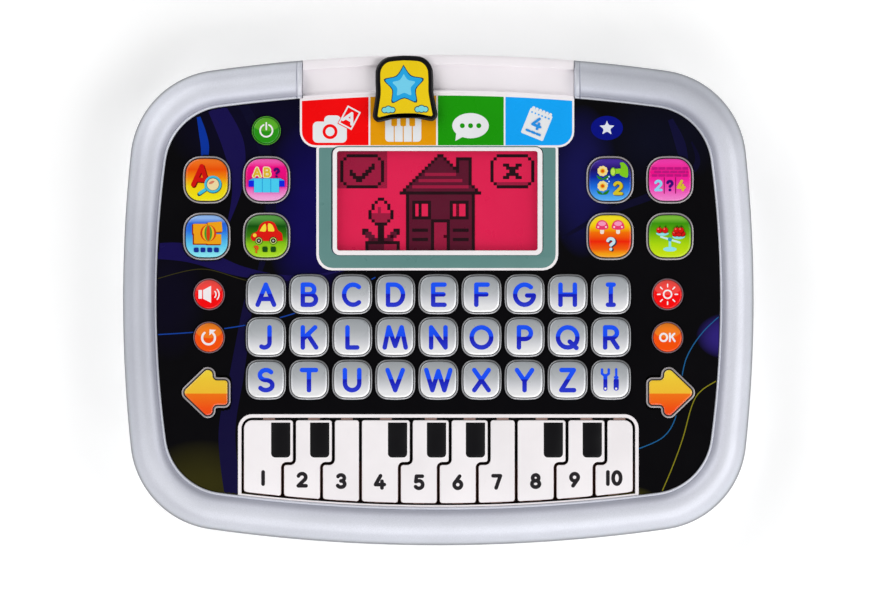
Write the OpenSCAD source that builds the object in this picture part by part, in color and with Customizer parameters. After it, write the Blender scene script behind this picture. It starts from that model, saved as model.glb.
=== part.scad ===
// Children's learning tablet: a silver frame round a printed face with a colour-lit screen,
// letter keys, picture buttons, ten piano keys and a mode slider that runs on a curved rail.
// It lies on its back: +X is its right, +Y its top edge, +Z out of its face.

/* [Body] */
// Overall width of the case
body_w = 245; // [243:0.5:248]
// Overall height of the case, piano edge to mode rail
body_h = 190.6; // [189.6:0.2:192]
// Height of the frame's crest above the table
body_t = 31; // [31:0.5:33]
// Wall thickness of the mouldings
wall = 2; // [1.6:0.1:2.2]
// Width of the frame's band at the left and right sides
band_side = 13.2; // [12.6:0.1:14]
// Width of the frame's band along the top and bottom
band_top = 15; // [14.6:0.1:15.6]

/* [Face] */
// Thickness of the printed face panel
panel_t = 1.8; // [1.4:0.1:2.2]
// How far a letter key stands above the face panel
key_proud = 1.5; // [1:0.1:2]
// How far a piano key stands above the face panel
piano_proud = 0.9; // [0.6:0.1:1.2]
// Travel of every key and button
key_travel = 1; // [0.6:0.1:1]
// Clearance between a button and its opening
key_gap = 0.2; // [0.2:0.05:0.25]

/* [Letter keys] */
// Width of a letter key
letter_w = 15.6; // [15:0.1:15.8]
// Distance between letter keys along a row
letter_pitch_x = 16.72; // [16.6:0.02:16.9]
// Distance between the three rows of letter keys
letter_pitch_y = 16.56; // [16.5:0.02:16.8]
// Height of the middle row above the centre of the face
letter_mid_y = -14.3; // [-14.6:0.1:-14]

/* [Other buttons] */
// Width of a picture button
picture_w = 18.4; // [17.8:0.1:18.8]
// Radius of a round command button
round_r = 6.1; // [5.6:0.1:6.4]
// Radius of the power button
power_r = 5.6; // [5.2:0.1:6]
// Width of one piano key
piano_pitch = 15.1; // [15:0.02:15.2]

/* [Screen] */
// Width of the screen window
window_w = 82; // [80:0.5:84]
// Height of the screen window
window_h = 42.2; // [41:0.2:43]

/* [Mode slider] */
// Distance between the four mode positions
mode_pitch = 26.2; // [26:0.1:26.3]
// Length of the white rail
rail_len = 108.6; // [108:0.2:110]

/* [Batteries] */
// Diameter of an AA cell
cell_d = 14.2; // [14:0.1:14.4]
// Length of an AA cell without its nub
cell_len = 49.2; // [49:0.1:49.4]

/* [Hidden] */

letter_names = concat(
    [for (c = "abcdefghijklmnopqrstuvwxyz") str("letter_key_", c)], ["tool_key"]);
piano_names = [for (i = [1:10]) str("piano_key_", i)];

// Outlines are rounded quads with bulging sides: half width, half height, radius of the
// left and right sides, radius of the top and bottom, radius of the corners.
outer_outline = [body_w / 2, body_h / 2, 542, 634, 36];
inner_outline = [body_w / 2 - band_side, body_h / 2 - band_top, 406, 652, 24];

// Levels above the table.
parting_z = 13;
panel_top = body_t - 3.4;
panel_bottom = panel_top - panel_t;
stop_gap = 0.2;
flange_top = panel_bottom - stop_gap;
flange_t = 0.8;
flange_bottom = flange_top - flange_t;
flange_grow = 0.6;
flange_side = 0.3;
flange_corner = 1.6;
dome_top = flange_bottom - key_travel - 0.1;
dome_h = 0.9;
dome_r = 3;
mat_t = 1;
mat_top = dome_top - dome_h;
board_t = 1.6;
board_bottom = mat_top - mat_t - board_t;
floor_bottom = 1;
floor_top = floor_bottom + wall;
foot_r = 6;
seam = 0.1;

// Letter keys: crown radius and outline.
crown_r = 60;
letter_outline = [letter_w / 2, letter_w / 2, 45, 45, 4.6];
letter_columns = 9;

// Picture buttons: centres of the left block, mirrored for the right block.
picture_x = [-89.8, -66.6];
picture_y = [46.6, 24.7];
picture_outline = [picture_w / 2, picture_w / 2, 60, 60, 6.6];

// Round buttons.
side_x = 88.9;
side_upper_y = 2.2;
side_lower_y = -14.5;
power_at = [-66.7, 65.7];

// Arrow buttons, drawn pointing left about the middle of the left one.
arrow_at = [-90.2, -35.9];
arrow_head = [[-7, 0], [0.6, 7.3], [1.2, 7.3], [1.2, -7.3], [0.6, -7.3]];
arrow_head_r = 2.6;
arrow_shaft = [[-2, -4.5], [7.6, 4.5]];
arrow_shaft_r = 2;

// Piano keys.
piano_left = -5 * piano_pitch;
piano_top_y = -46.5;
piano_jog_y = -63.4;
piano_jog = 4.6;
piano_slot = 0.9;
piano_edge_in = 1.2;
piano_straight = [3, 7];
piano_corner_r = 3.4;
tab_w = 4.6;
tab_d = 0.55;

// Screen.
window_at = [-0.4, 38.5];
lens_t = 1.2;
view_w = window_w - 4.2;
view_h = window_h - 3.6;

// Mode rail and slider: everything is concentric about this point, far below the tablet.
rail_outer_r = 654;
rail_centre = [0, body_h / 2 - rail_outer_r];
groove_r = 645;
rail_top = panel_top + 0.4;
groove_low = -4.8;
groove_high = 5.2;
groove_floor = rail_top - 2.6;
undercut_top = rail_top - 1.2;
undercut_low = 0.6;
undercut_high = 1.1;
slider_gap = 0.35;
knob_at = -mode_pitch / 2;
knob_angle = -asin(knob_at / groove_r);
knob_bottom = body_t - 2.3;
knob_t = 2.8;
knob_drop = -5.7;

// Batteries lie side by side along X under a door in the back.
cell_pitch = 14.9;
cell_z = 3.5 + cell_d / 2;
nub_len = 1.2;
bay_x = 29.5;
bay_y = [-16, 15.6];
bay_wall = 1.5;
plate_t = 0.5;
cell_end = bay_x - plate_t - 0.2;
cell_base = cell_end - cell_len - nub_len;
bay_top = cell_z + cell_d / 2 + 2.2;
door_x = 33;
door_y = [-19, 25];
door_gap = 0.3;
door_screw_y = 20.6;
tongue_x = 20;
tongue_w = 8;

// Case screws go up from the back into posts under the frame.
screw_at = concat(
    [for (sx = [-1, 1], sy = [-1, 1]) [sx * (body_w / 2 - 18.9), sy * (body_h / 2 - 22.5)]],
    [for (sx = [-1, 1]) [sx * (body_w / 2 - 6.6), 0]]);
screw_r = 1.45;
pilot_r = 1.5;
screw_head_r = 2.8;
well_r = 3.1;
well_top = 6;
post_r = 3.6;

// Loudspeaker.
speaker_at = [-66, -22];
speaker_r = 19;

// ---------------------------------------------------------------- outlines

// Centre of the corner arc of a rounded quad, in the first quadrant.
function corner_centre(p) =
    let (side = [p[0] - p[2], 0], top = [0, p[1] - p[3]],
         d1 = p[2] - p[4], d2 = p[3] - p[4],
         d = norm(top - side), u = (top - side) / d,
         along = (d1 * d1 - d2 * d2 + d * d) / (2 * d),
         across = sqrt(d1 * d1 - along * along))
    side + along * u + across * [-u.y, u.x];

function arc(centre, r, from, to, n) =
    [for (i = [0:n]) centre + r * [cos(from + (to - from) * i / n),
                                   sin(from + (to - from) * i / n)]];

function direction(v) = atan2(v.y, v.x);

// One quarter of a rounded quad, from the +X axis to the +Y axis.
function quarter(p, side_n, corner_n, top_n) =
    let (c = corner_centre(p), side = [p[0] - p[2], 0], top = [0, p[1] - p[3]],
         a1 = direction(c - side), a2 = direction(c - top),
         s = arc(side, p[2], 0, a1, side_n),
         k = arc(c, p[4], a1, a2, corner_n),
         t = arc(top, p[3], a2, 90, top_n))
    concat(s, [for (i = [1:corner_n]) k[i]], [for (i = [1:top_n]) t[i]]);

function outline(p, side_n = 3, corner_n = 7, top_n = 4) =
    let (q = quarter(p, side_n, corner_n, top_n), n = len(q))
    concat(q,
           [for (i = [n - 2:-1:0]) [-q[i].x, q[i].y]],
           [for (i = [1:n - 1]) [-q[i].x, -q[i].y]],
           [for (i = [n - 2:-1:1]) [q[i].x, -q[i].y]]);

function small_outline(p) = outline(p, 2, 4, 2);

// The outline a fraction t of the way across the frame's band, from outside to inside.
function band(t) = outer_outline + t * (inner_outline - outer_outline);

// A rounded quad grown by d all round.
function grown(p, d) = [for (v = p) v + d];

// ---------------------------------------------------------------- shared shapes

function loops(levels) =
    [for (l = levels, q = outline(band(l[0]))) [q.x, q.y, l[1]]];

function strip(i, k, m) =
    [for (j = [0:m - 1]) let (a = i * m + j, b = i * m + (j + 1) % m,
                              c = k * m + (j + 1) % m, d = k * m + j)
        each [[a, c, b], [a, d, c]]];

// A closed section of [band fraction, height] points swept once round the case.
module ring_sweep(section) {
    m = len(outline(outer_outline));
    n = len(section);
    polyhedron(points = loops(section),
               faces = [for (i = [0:n - 1]) each strip(i, (i + 1) % n, m)]);
}

// A solid whose outline follows [band fraction, height] levels, listed from the top down.
module stack(levels) {
    m = len(outline(outer_outline));
    n = len(levels);
    polyhedron(points = loops(levels),
               faces = concat([for (i = [0:n - 2]) each strip(i, i + 1, m)],
                              [[for (j = [m - 1:-1:0]) j],
                               [for (j = [0:m - 1]) (n - 1) * m + j]]));
}

module prism(points, z0, z1) {
    translate([0, 0, z0]) linear_extrude(z1 - z0) polygon(points);
}

module box(x, y, z) {
    translate([x[0], y[0], z[0]]) cube([x[1] - x[0], y[1] - y[0], z[1] - z[0]]);
}

module disc(r, z0, z1) {
    translate([0, 0, z0]) cylinder(r = r, h = z1 - z0, $fn = 96);
}

// A cap with a crowned top. The squarer corners of its flange catch behind the face panel.
module quad_button(p, proud) {
    top = panel_top + proud;
    flange = [p[0] + flange_side, p[1] + flange_side, 100, 100, flange_corner];
    prism(small_outline(flange), flange_bottom, flange_top);
    intersection() {
        prism(small_outline(p), flange_top - 0.1, top);
        translate([0, 0, top - crown_r]) sphere(crown_r, $fn = 256);
    }
}

module round_button(r) {
    disc(r + flange_grow + key_gap, flange_bottom, flange_top);
    intersection() {
        disc(r, flange_top - 0.1, panel_top + key_proud);
        translate([0, 0, panel_top + key_proud - crown_r]) sphere(crown_r, $fn = 256);
    }
}

module arrow_shape(grow) {
    offset(r = arrow_head_r + grow, $fn = 40) polygon(arrow_head);
    translate([arrow_shaft[0].x, arrow_shaft[0].y])
        offset(r = arrow_shaft_r + grow, $fn = 40) square(arrow_shaft[1] - arrow_shaft[0]);
}

module arrow_button() {
    translate([0, 0, flange_bottom]) linear_extrude(flange_t) arrow_shape(flange_grow);
    translate([0, 0, flange_top]) linear_extrude(panel_top + key_proud - 0.3 - flange_top)
        arrow_shape(0);
}

function letter_at(i) =
    [(i % letter_columns - 4) * letter_pitch_x,
     letter_mid_y + (1 - floor(i / letter_columns)) * letter_pitch_y];

// Every place where a button presses the contact mat.
function press_points() = concat(
    [for (i = [0:26]) letter_at(i)],
    [for (x = picture_x, y = picture_y, s = [1, -1]) [s * x, y]],
    [for (s = [1, -1], y = [side_upper_y, side_lower_y]) [s * side_x, y]],
    [for (s = [1, -1]) [s * (arrow_at.x + 2), arrow_at.y]],
    [for (i = [0:9]) [piano_left + (i + 0.5) * piano_pitch, -67]],
    [power_at]);

// ---------------------------------------------------------------- piano keys

// Lower edge of the piano keys, a given distance inside the frame's inner edge.
function piano_low(x, inset) =
    let (r = inner_outline[3] - inset, b = inner_outline[1] - inset)
    r - b - sqrt(r * r - x * x);

function is_straight(i) = len([for (s = piano_straight) if (s == i) s]) > 0
    || i == 0 || i == 10;

function jog_at(i) = is_straight(i) ? 0 : piano_jog;

// The field that all ten keys share, with rounded upper corners.
module piano_field(grow) {
    left = piano_left - grow;
    top = piano_top_y + grow;
    r = piano_corner_r + grow;
    low = piano_edge_in + 0.75 - grow;
    polygon(concat(
        arc([-left - r, top - r], r, 0, 90, 8),
        arc([left + r, top - r], r, 90, 180, 8),
        [for (k = [0:16]) let (x = left - 2 * left * k / 16) [x, piano_low(x, low)]]));
}

module piano_outline(i) {
    half = piano_slot / 2;
    left = piano_left + i * piano_pitch + (i == 0 ? 0 : half);
    right = piano_left + (i + 1) * piano_pitch - (i == 9 ? 0 : half);
    far = piano_low(0, 0);
    intersection() {
        offset(r = 0.8, $fn = 32) offset(delta = -0.8) polygon([
            [left, far - 1], [right, far - 1],
            [right, piano_jog_y + half], [right + jog_at(i + 1), piano_jog_y + half],
            [right + jog_at(i + 1), piano_top_y], [left + jog_at(i), piano_top_y],
            [left + jog_at(i), piano_jog_y - half], [left, piano_jog_y - half]]);
        piano_field(0);
    }
}

module piano_key(i) {
    mid = piano_left + (i + 0.5) * piano_pitch + (jog_at(i) + jog_at(i + 1)) / 2;
    low = piano_left + (i + 0.5) * piano_pitch;
    color("whitesmoke") {
        translate([0, 0, flange_bottom])
            linear_extrude(panel_top + piano_proud - flange_bottom) piano_outline(i);
        box([mid - tab_w / 2, mid + tab_w / 2], [piano_top_y - 1, piano_top_y + tab_d],
            [flange_bottom, flange_top]);
        box([low - tab_w / 2, low + tab_w / 2],
            [piano_low(low, piano_edge_in + 0.75) - tab_d + 0.1,
             piano_low(low, piano_edge_in) + 2],
            [flange_bottom, flange_top]);
    }
}

// ---------------------------------------------------------------- casings

module front_frame() {
    w = wall / band_side;
    z = body_t;
    color("silver") difference() {
        union() {
            ring_sweep([
                [0, parting_z], [0, z - 13.5], [0.03, z - 9.5], [0.09, z - 6],
                [0.18, z - 3], [0.3, z - 0.9], [0.42, z], [0.56, z - 0.1], [0.7, z - 0.8],
                [0.84, z - 1.8], [0.93, z - 2.5], [0.96, z - 2.4], [0.99, z - 2.7],
                [1, z - 3.1], [1, panel_bottom - seam], [1.05, panel_bottom - seam],
                [1.05, panel_bottom - 1.6], [0.93, panel_bottom - 1.6],
                [0.84, z - 1.8 - wall], [0.7, z - 0.8 - wall], [0.56, z - 0.1 - wall],
                [0.42, z - wall], [0.34, z - 1.2 - wall], [0.26, z - 4.5], [w + 0.04, z - 9],
                [w, z - 13.5], [w, parting_z]]);
            for (p = screw_at) translate(p) disc(post_r, parting_z + 0.2, z - 2.5);
        }
        for (p = screw_at) translate(p) disc(pilot_r, parting_z, z - 7);
        box([-rail_len / 2 - 0.15, rail_len / 2 + 0.15], [inner_outline[1] - 3, body_h / 2 + 1],
            [parting_z - 1, z + 1]);
    }
}

// The slider's foot runs in the groove, under an undercut along both of its edges.
module mode_rail() {
    r = rail_outer_r;
    outer = groove_r + groove_high;
    inner = groove_r + groove_low;
    front = inner_outline[1] - rail_centre.y + 0.05;
    z = rail_top;
    a = asin(rail_len * 0.6 / groove_r);
    color("white") intersection() {
        translate(rail_centre) rotate(90 - a) rotate_extrude(angle = 2 * a, $fn = 1440)
            polygon([
                [r, parting_z], [r, z - 8], [r - 0.3, z - 3], [r - 1.1, z - 0.6],
                [r - 2, z], [outer + 0.3, z], [outer, z - 0.3], [outer, undercut_top],
                [outer + undercut_high, undercut_top], [outer + undercut_high, groove_floor],
                [inner - undercut_low, groove_floor], [inner - undercut_low, undercut_top],
                [inner, undercut_top], [inner, z - 0.2], [inner - 0.2, z],
                [front + 0.2, z], [front, z - 0.2], [front, panel_bottom - 2],
                [inner, groove_floor - wall], [r - wall, groove_floor - wall],
                [r - wall, parting_z]]);
        box([-rail_len / 2, rail_len / 2], [inner_outline[1] - 3, body_h / 2 + 1],
            [parting_z - 1, body_t + 1]);
    }
}

module face_panel() {
    color("midnightblue") translate([0, 0, panel_bottom]) linear_extrude(panel_t)
        difference() {
            polygon(outline(grown(inner_outline, -0.15)));
            for (i = [0:26]) translate(letter_at(i))
                polygon(small_outline(grown(letter_outline, key_gap)));
            for (x = picture_x, y = picture_y, s = [1, -1]) translate([s * x, y])
                polygon(small_outline(grown(picture_outline, key_gap)));
            for (x = [-side_x, side_x], y = [side_upper_y, side_lower_y]) translate([x, y])
                circle(round_r + key_gap, $fn = 96);
            translate(power_at) circle(power_r + key_gap, $fn = 96);
            for (s = [0, 1]) mirror([s, 0]) translate(arrow_at) arrow_shape(key_gap);
            translate(window_at) polygon(small_outline(
                [window_w / 2, window_h / 2, 2000, 2000, 3]));
            piano_field(0.75);
        }
}

module rear_case() {
    d = door_gap;
    color("white") difference() {
        union() {
            difference() {
                stack([[0.17, parting_z + 2], [0.17, parting_z - seam], [0, parting_z - seam],
                       [0, 10.5], [0.05, 7], [0.16, 4], [0.34, 1.9], [0.55, floor_bottom]]);
                stack([[0.27, parting_z + 3], [0.27, 9], [0.27, 7.6], [0.33, 5.2], [0.46, 3.6],
                       [0.6, floor_top]]);
            }
            for (p = screw_at) translate(p) disc(post_r, floor_top - 0.1, parting_z - 0.2);
            // Battery bay: four walls and a ceiling, on a seat that the door closes against.
            box([-bay_x - bay_wall, bay_x + bay_wall], [bay_y[0] - bay_wall, bay_y[1] + bay_wall],
                [floor_bottom + 0.5, bay_top]);
            box([-door_x - 2, door_x + 2], [door_y[0] - 2, door_y[1] + 2],
                [floor_bottom + 0.5, floor_top + 1.6]);
            translate([0, door_screw_y]) disc(post_r, floor_top, floor_top + 7);
            for (x = [-84, 84], y = [44, -54]) translate([x, y])
                disc(3, floor_top - 0.5, board_bottom - seam);
            // A collar holds the loudspeaker over its grille.
            translate(speaker_at) difference() {
                disc(speaker_r + 2, floor_top - 0.5, floor_top + 5);
                disc(speaker_r + 0.3, floor_top, floor_top + 6);
            }
            for (x = [-70, 70], y = [-62, 62]) translate([x, y]) disc(foot_r, 0, floor_top - 0.5);
        }
        box([-bay_x, bay_x], bay_y, [floor_bottom - 1, bay_top - bay_wall]);
        box([-door_x - d, door_x + d], [door_y[0] - d, door_y[1] + d],
            [floor_bottom - 1, floor_top]);
        for (s = [-1, 1])
            box([s * tongue_x - tongue_w / 2 - 0.6, s * tongue_x + tongue_w / 2 + 0.6],
                [door_y[0] - 4.4, bay_y[0] + 0.1], [floor_top, floor_top + 3]);
        translate([0, door_screw_y]) disc(pilot_r + 0.5, floor_bottom - 1, floor_top + 6);
        for (p = screw_at) translate(p) {
            disc(well_r, floor_bottom - 1, well_top);
            disc(pilot_r + 0.2, well_top - 1, parting_z + 1);
        }
        for (k = [-3:3]) {
            half = sqrt(pow(speaker_r - 3, 2) - pow(k * 4.2, 2));
            box([speaker_at.x - half, speaker_at.x + half],
                [speaker_at.y + k * 4.2 - 0.9, speaker_at.y + k * 4.2 + 0.9],
                [floor_bottom - 1, floor_top + 1]);
        }
    }
}

// The door hooks under the case with two tongues and is held by a captive screw.
module battery_door() {
    t = floor_top - 0.1;
    color("white") difference() {
        union() {
            box([-door_x, door_x], door_y, [floor_bottom, t]);
            for (s = [-1, 1]) {
                box([s * tongue_x - tongue_w / 2, s * tongue_x + tongue_w / 2],
                    [door_y[0] - 2.8, door_y[0] + 1.4], [floor_top + 0.2, floor_top + 1.4]);
                box([s * tongue_x - tongue_w / 2, s * tongue_x + tongue_w / 2],
                    [door_y[0] + 0.2, door_y[0] + 1.4], [t - 0.5, floor_top + 1.4]);
            }
        }
        translate([0, door_screw_y]) {
            disc(well_r, floor_bottom - 1, floor_bottom + 1);
            disc(pilot_r + 0.15, floor_bottom, t + 1);
        }
        // Finger grooves across the screw end.
        for (x = [-24, 10], k = [0:3])
            box([x, x + 14], [door_y[1] - 3 - 2.4 * k, door_y[1] - 2 - 2.4 * k],
                [floor_bottom - 1, floor_bottom + 0.5]);
    }
    color("silver") translate([0, door_screw_y]) difference() {
        union() {
            disc(screw_head_r - 0.1, floor_bottom + 0.05, floor_bottom + 0.95);
            disc(screw_r, floor_bottom + 0.5, floor_top + 2.4);
        }
        for (a = [0, 90]) rotate(a) box([-1.8, 1.8], [-0.35, 0.35], [0, floor_bottom + 0.5]);
    }
}

module case_screws() {
    color("silver") for (p = screw_at) translate(p) difference() {
        union() {
            disc(screw_head_r, well_top - 2.2, well_top - 0.05);
            disc(screw_r, well_top - 1, body_t - 8);
        }
        for (a = [0, 90]) rotate(a) box([-1.8, 1.8], [-0.35, 0.35], [0, well_top - 1.2]);
    }
}

// ---------------------------------------------------------------- inside

module screen_lens() {
    color("lightcyan") translate(window_at) prism(small_outline(
        [window_w / 2 - 0.1, window_h / 2 - 0.1, 2000, 2000, 2.9]),
        panel_top - 0.2 - lens_t, panel_top - 0.2);
}

module lcd_module() {
    glass = panel_bottom - 0.8;
    color("crimson") translate(window_at) {
        box([-43.2, 43.2], [-23.3, 23.3], [mat_top - mat_t + seam, glass]);
        difference() {
            prism(small_outline([window_w / 2 - 0.3, window_h / 2 - 0.3, 2000, 2000, 2.7]),
                  glass - 0.5, panel_top - lens_t - 0.3);
            box([-view_w / 2, view_w / 2], [-view_h / 2, view_h / 2], [glass, panel_top]);
        }
    }
}

module main_board() {
    chips = [[46, -30, 9, 7], [60, 20, 6, 6], [-50, 28, 8, 5]];
    color("peru") {
        difference() {
            box([-100, 100], [-73, 66], [board_bottom, board_bottom + board_t]);
            for (s = [-1, 1]) box([s * 100 - 6, s * 100 + 6], [60, 67], [0, body_t]);
        }
        translate([70, -40]) disc(8, board_bottom - 1.2, board_bottom + 0.2);
        for (c = chips) box([c[0], c[0] + c[2]], [c[1], c[1] + c[3]],
                            [board_bottom - 1.4, board_bottom + 0.2]);
    }
}

module contact_mat() {
    color("dimgray") {
        difference() {
            box([-98, 98], [-72, 72], [mat_top - mat_t + 0.02, mat_top]);
            translate(window_at) box([-44, 44], [-24, 24], [0, body_t]);
        }
        for (p = press_points()) translate(p) disc(dome_r, mat_top - 0.3, dome_top);
    }
}

module speaker() {
    color("darkgray") translate(speaker_at) {
        disc(speaker_r, floor_top + 0.1, floor_top + 2);
        translate([0, 0, floor_top + 1.9])
            cylinder(r1 = speaker_r - 2, r2 = 11, h = 4, $fn = 96);
        disc(11, floor_top + 5.8, floor_top + 10);
    }
}

module battery_cells() {
    color("gold") for (s = [-1, 1])
        translate([cell_base * s, s * cell_pitch / 2 - 0.2, cell_z])
            rotate([0, s * 90, 0]) {
                cylinder(r = cell_d / 2, h = cell_len, $fn = 96);
                cylinder(r = 2.7, h = cell_len + nub_len, $fn = 96);
            }
}

// At each end of the bay a plate meets one cell's nub and a coil meets the other's base.
module battery_contacts() {
    reach = bay_x - 0.1;
    coil_r = 3.4;
    turns = 3;
    wire = 0.8;
    start = cell_base - 0.1;
    gap = reach - plate_t + start;
    color("silver") for (s = [-1, 1]) {
        box([min(s * reach, s * (reach - plate_t)), max(s * reach, s * (reach - plate_t))],
            [-14.4, 14], [4.5, 16.5]);
        translate([s * start, s * cell_pitch / 2 - 0.2, cell_z])
            rotate([0, -s * 90, 0]) for (k = [0:turns - 1])
                translate([0, 0, wire / 2 + k * (gap - wire) / (turns - 1)])
                    rotate_extrude($fn = 96) translate([coil_r, 0]) circle(wire / 2, $fn = 24);
    }
}

// ---------------------------------------------------------------- moving pieces

module knob_shape(grow) {
    offset(r = 3 + grow, $fn = 48) polygon(concat(
        [[-10.2, -10.4], [-5, -9.6], [0, -9.3], [5, -9.6], [10.2, -10.4]],
        [[9, -4], [8.7, 6], [7.4, 8.6], [4, 10.4], [0, 10.8], [-4, 10.4], [-7.4, 8.6],
         [-8.7, 6], [-9, -4]]));
}

module mode_slider() {
    color("gold") translate(rail_centre) rotate(knob_angle) translate([0, groove_r]) {
        translate([0, knob_drop, knob_bottom]) linear_extrude(knob_t) knob_shape(0);
        box([-9, 9], [groove_low + slider_gap, groove_high - slider_gap],
            [groove_floor + 0.3, knob_bottom + 0.2]);
        box([-9, 9], [groove_low - undercut_low + slider_gap,
                      groove_high + undercut_high - slider_gap],
            [groove_floor + 0.3, undercut_top - 0.3]);
    }
}

module picture_buttons(s) {
    color("orange") for (x = picture_x, y = picture_y) translate([s * x, y])
        quad_button(picture_outline, key_proud);
}

module command_button(at, r, paint) {
    color(paint) translate(at) round_button(r);
}

module direction_button(s) {
    color("orange") mirror([s > 0 ? 1 : 0, 0]) translate(arrow_at) arrow_button();
}

module letter_key(i) {
    color("lightgray") translate(letter_at(i)) quad_button(letter_outline, key_proud);
}

// ---------------------------------------------------------------- nodes

front_frame();
mode_rail();
face_panel();
screen_lens();
lcd_module();
main_board();
contact_mat();
speaker();
battery_cells();
battery_contacts();
battery_door();
rear_case();
case_screws();
mode_slider();
picture_buttons(1);  // picture_buttons_left
picture_buttons(-1);  // picture_buttons_right
command_button(power_at, power_r, "green");  // power_button
command_button([-side_x, side_upper_y], round_r, "red");  // volume_button
command_button([-side_x, side_lower_y], round_r, "orange");  // repeat_button
command_button([side_x, side_upper_y], round_r, "red");  // brightness_button
command_button([side_x, side_lower_y], round_r, "orange");  // ok_button
direction_button(-1);  // left_arrow_button
direction_button(1);  // right_arrow_button
for (i = [0:9]) piano_key(i);
for (i = [0:26]) letter_key(i);
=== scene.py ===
"""Looks of the toy tablet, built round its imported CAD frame. Lengths in the script are millimetres."""
import math
import bpy
import bmesh
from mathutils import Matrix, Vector, geometry
from mathutils.bvhtree import BVHTree


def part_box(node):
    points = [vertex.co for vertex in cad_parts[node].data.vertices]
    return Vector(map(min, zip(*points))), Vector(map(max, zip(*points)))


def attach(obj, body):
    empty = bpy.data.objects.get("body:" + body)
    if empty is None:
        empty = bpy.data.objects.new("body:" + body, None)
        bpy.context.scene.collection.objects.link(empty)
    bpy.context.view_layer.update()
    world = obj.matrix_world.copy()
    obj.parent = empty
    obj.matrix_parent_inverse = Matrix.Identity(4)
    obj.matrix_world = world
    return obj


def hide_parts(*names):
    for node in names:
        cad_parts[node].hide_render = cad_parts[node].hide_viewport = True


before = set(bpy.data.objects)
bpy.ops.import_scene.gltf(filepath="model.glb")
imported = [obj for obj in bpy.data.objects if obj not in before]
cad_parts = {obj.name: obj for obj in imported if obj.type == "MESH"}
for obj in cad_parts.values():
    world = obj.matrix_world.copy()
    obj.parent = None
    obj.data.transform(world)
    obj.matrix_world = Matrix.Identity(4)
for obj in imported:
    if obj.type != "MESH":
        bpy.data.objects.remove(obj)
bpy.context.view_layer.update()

MM = 0.001
scene = bpy.context.scene

# --- places, from the frame


def low(node):
    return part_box(node)[0] / MM


def high(node):
    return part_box(node)[1] / MM


def centre(node):
    return (low(node).xy + high(node).xy) / 2


PANEL_TOP = high("face_panel").z
PANEL_LOW = low("face_panel").z
FRAME_TOP = high("front_frame").z
PARTING = low("front_frame").z
KEY_TOP = high("letter_key_a").z
PIANO_TOP = high("piano_key_5").z
HALF_W = high("front_frame").x
HALF_H = high("rear_case").y
RAIL_HALF = high("mode_rail").x
LETTERS = "ABCDEFGHIJKLMNOPQRSTUVWXYZ"

# Rounded quads: half width, half height, radius of the sides, of the top and bottom, of the corners.
BAND_WIDE = 13.2
OUTER = (HALF_W, HALF_H, 542, 634, 36)
INNER = (HALF_W - BAND_WIDE, HALF_H - 15, 406, 652, 24)

# --- camera

VIEW_W = 338.2
VIEW_X = -0.9
LENS_DISTANCE = 6000
camera_data = bpy.data.cameras.new("camera")
camera_data.sensor_width = 36
camera_data.lens = 36 * LENS_DISTANCE / VIEW_W
camera_data.clip_end = 20
camera = bpy.data.objects.new("camera", camera_data)
scene.collection.objects.link(camera)
camera.location = Vector((VIEW_X, 0, PANEL_TOP + LENS_DISTANCE)) * MM
scene.camera = camera

# --- outlines


def corner_centre(p):
    """Centre of the corner arc that touches both the side arc and the top arc of a rounded quad."""
    side = Vector((p[0] - p[2], 0))
    top = Vector((0, p[1] - p[3]))
    d1 = p[2] - p[4]
    d2 = p[3] - p[4]
    d = (top - side).length
    u = (top - side) / d
    along = (d1 * d1 - d2 * d2 + d * d) / (2 * d)
    across = math.sqrt(d1 * d1 - along * along)
    return side + u * along + Vector((-u.y, u.x)) * across


def arc(c, rx, ry, start, end, n):
    """Points on an elliptical arc, angles in degrees."""
    angles = [math.radians(start + (end - start) * i / n) for i in range(n + 1)]
    return [(c[0] + rx * math.cos(a), c[1] + ry * math.sin(a)) for a in angles]


def quarter(p, stops, side_n=12, corner_n=22, top_n=22):
    """One quarter of a rounded quad from the +X axis up; its top runs in to the x values of stops."""
    c = corner_centre(p)
    a1 = math.degrees(math.atan2(c.y, c.x - (p[0] - p[2])))
    a2 = math.degrees(math.atan2(c.y - (p[1] - p[3]), c.x))
    points = arc((p[0] - p[2], 0), p[2], p[2], 0, a1, side_n)
    points += arc(c, p[4], p[4], a1, a2, corner_n)[1:]
    start = points[-1][0]
    xs = [start + (stops[0] - start) * i / top_n for i in range(1, top_n)] + list(stops)
    return points + [(x, p[1] - p[3] + math.sqrt(p[3] ** 2 - x * x)) for x in xs]


def outline(p, side_n=12, corner_n=22, top_n=22):
    """The whole rounded quad, anticlockwise from the +X axis."""
    q = quarter(p, [0], side_n, corner_n, top_n)
    return (q + [(-x, y) for x, y in q[-2::-1]] + [(-x, -y) for x, y in q[1:]]
            + [(x, -y) for x, y in q[-2:0:-1]])


def shrink(points, d):
    """An anticlockwise outline moved in by a small d."""
    made = []
    for i, here in enumerate(points):
        a = (Vector(here) - Vector(points[i - 1])).normalized()
        b = (Vector(points[(i + 1) % len(points)]) - Vector(here)).normalized()
        push = Vector((-a.y - b.y, a.x + b.x)) / (1 + a.dot(b))
        made.append((here[0] + push.x * d, here[1] + push.y * d))
    return made


def small(p):
    """The outline of a key, with fewer points."""
    return outline(p, 3, 8, 3)


def inset(p, d):
    """A rounded quad moved in by d."""
    return tuple(v - d for v in p)


def band(t):
    """The outline a fraction t of the way across the frame's band, from outside to inside."""
    return tuple(a + t * (b - a) for a, b in zip(OUTER, INNER))


def top_edge(x, drop=0.0):
    """Y of the face's upper edge at x, moved in by drop."""
    r = INNER[3] - drop
    return INNER[1] - drop - r + math.sqrt(r * r - x * x)


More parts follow.
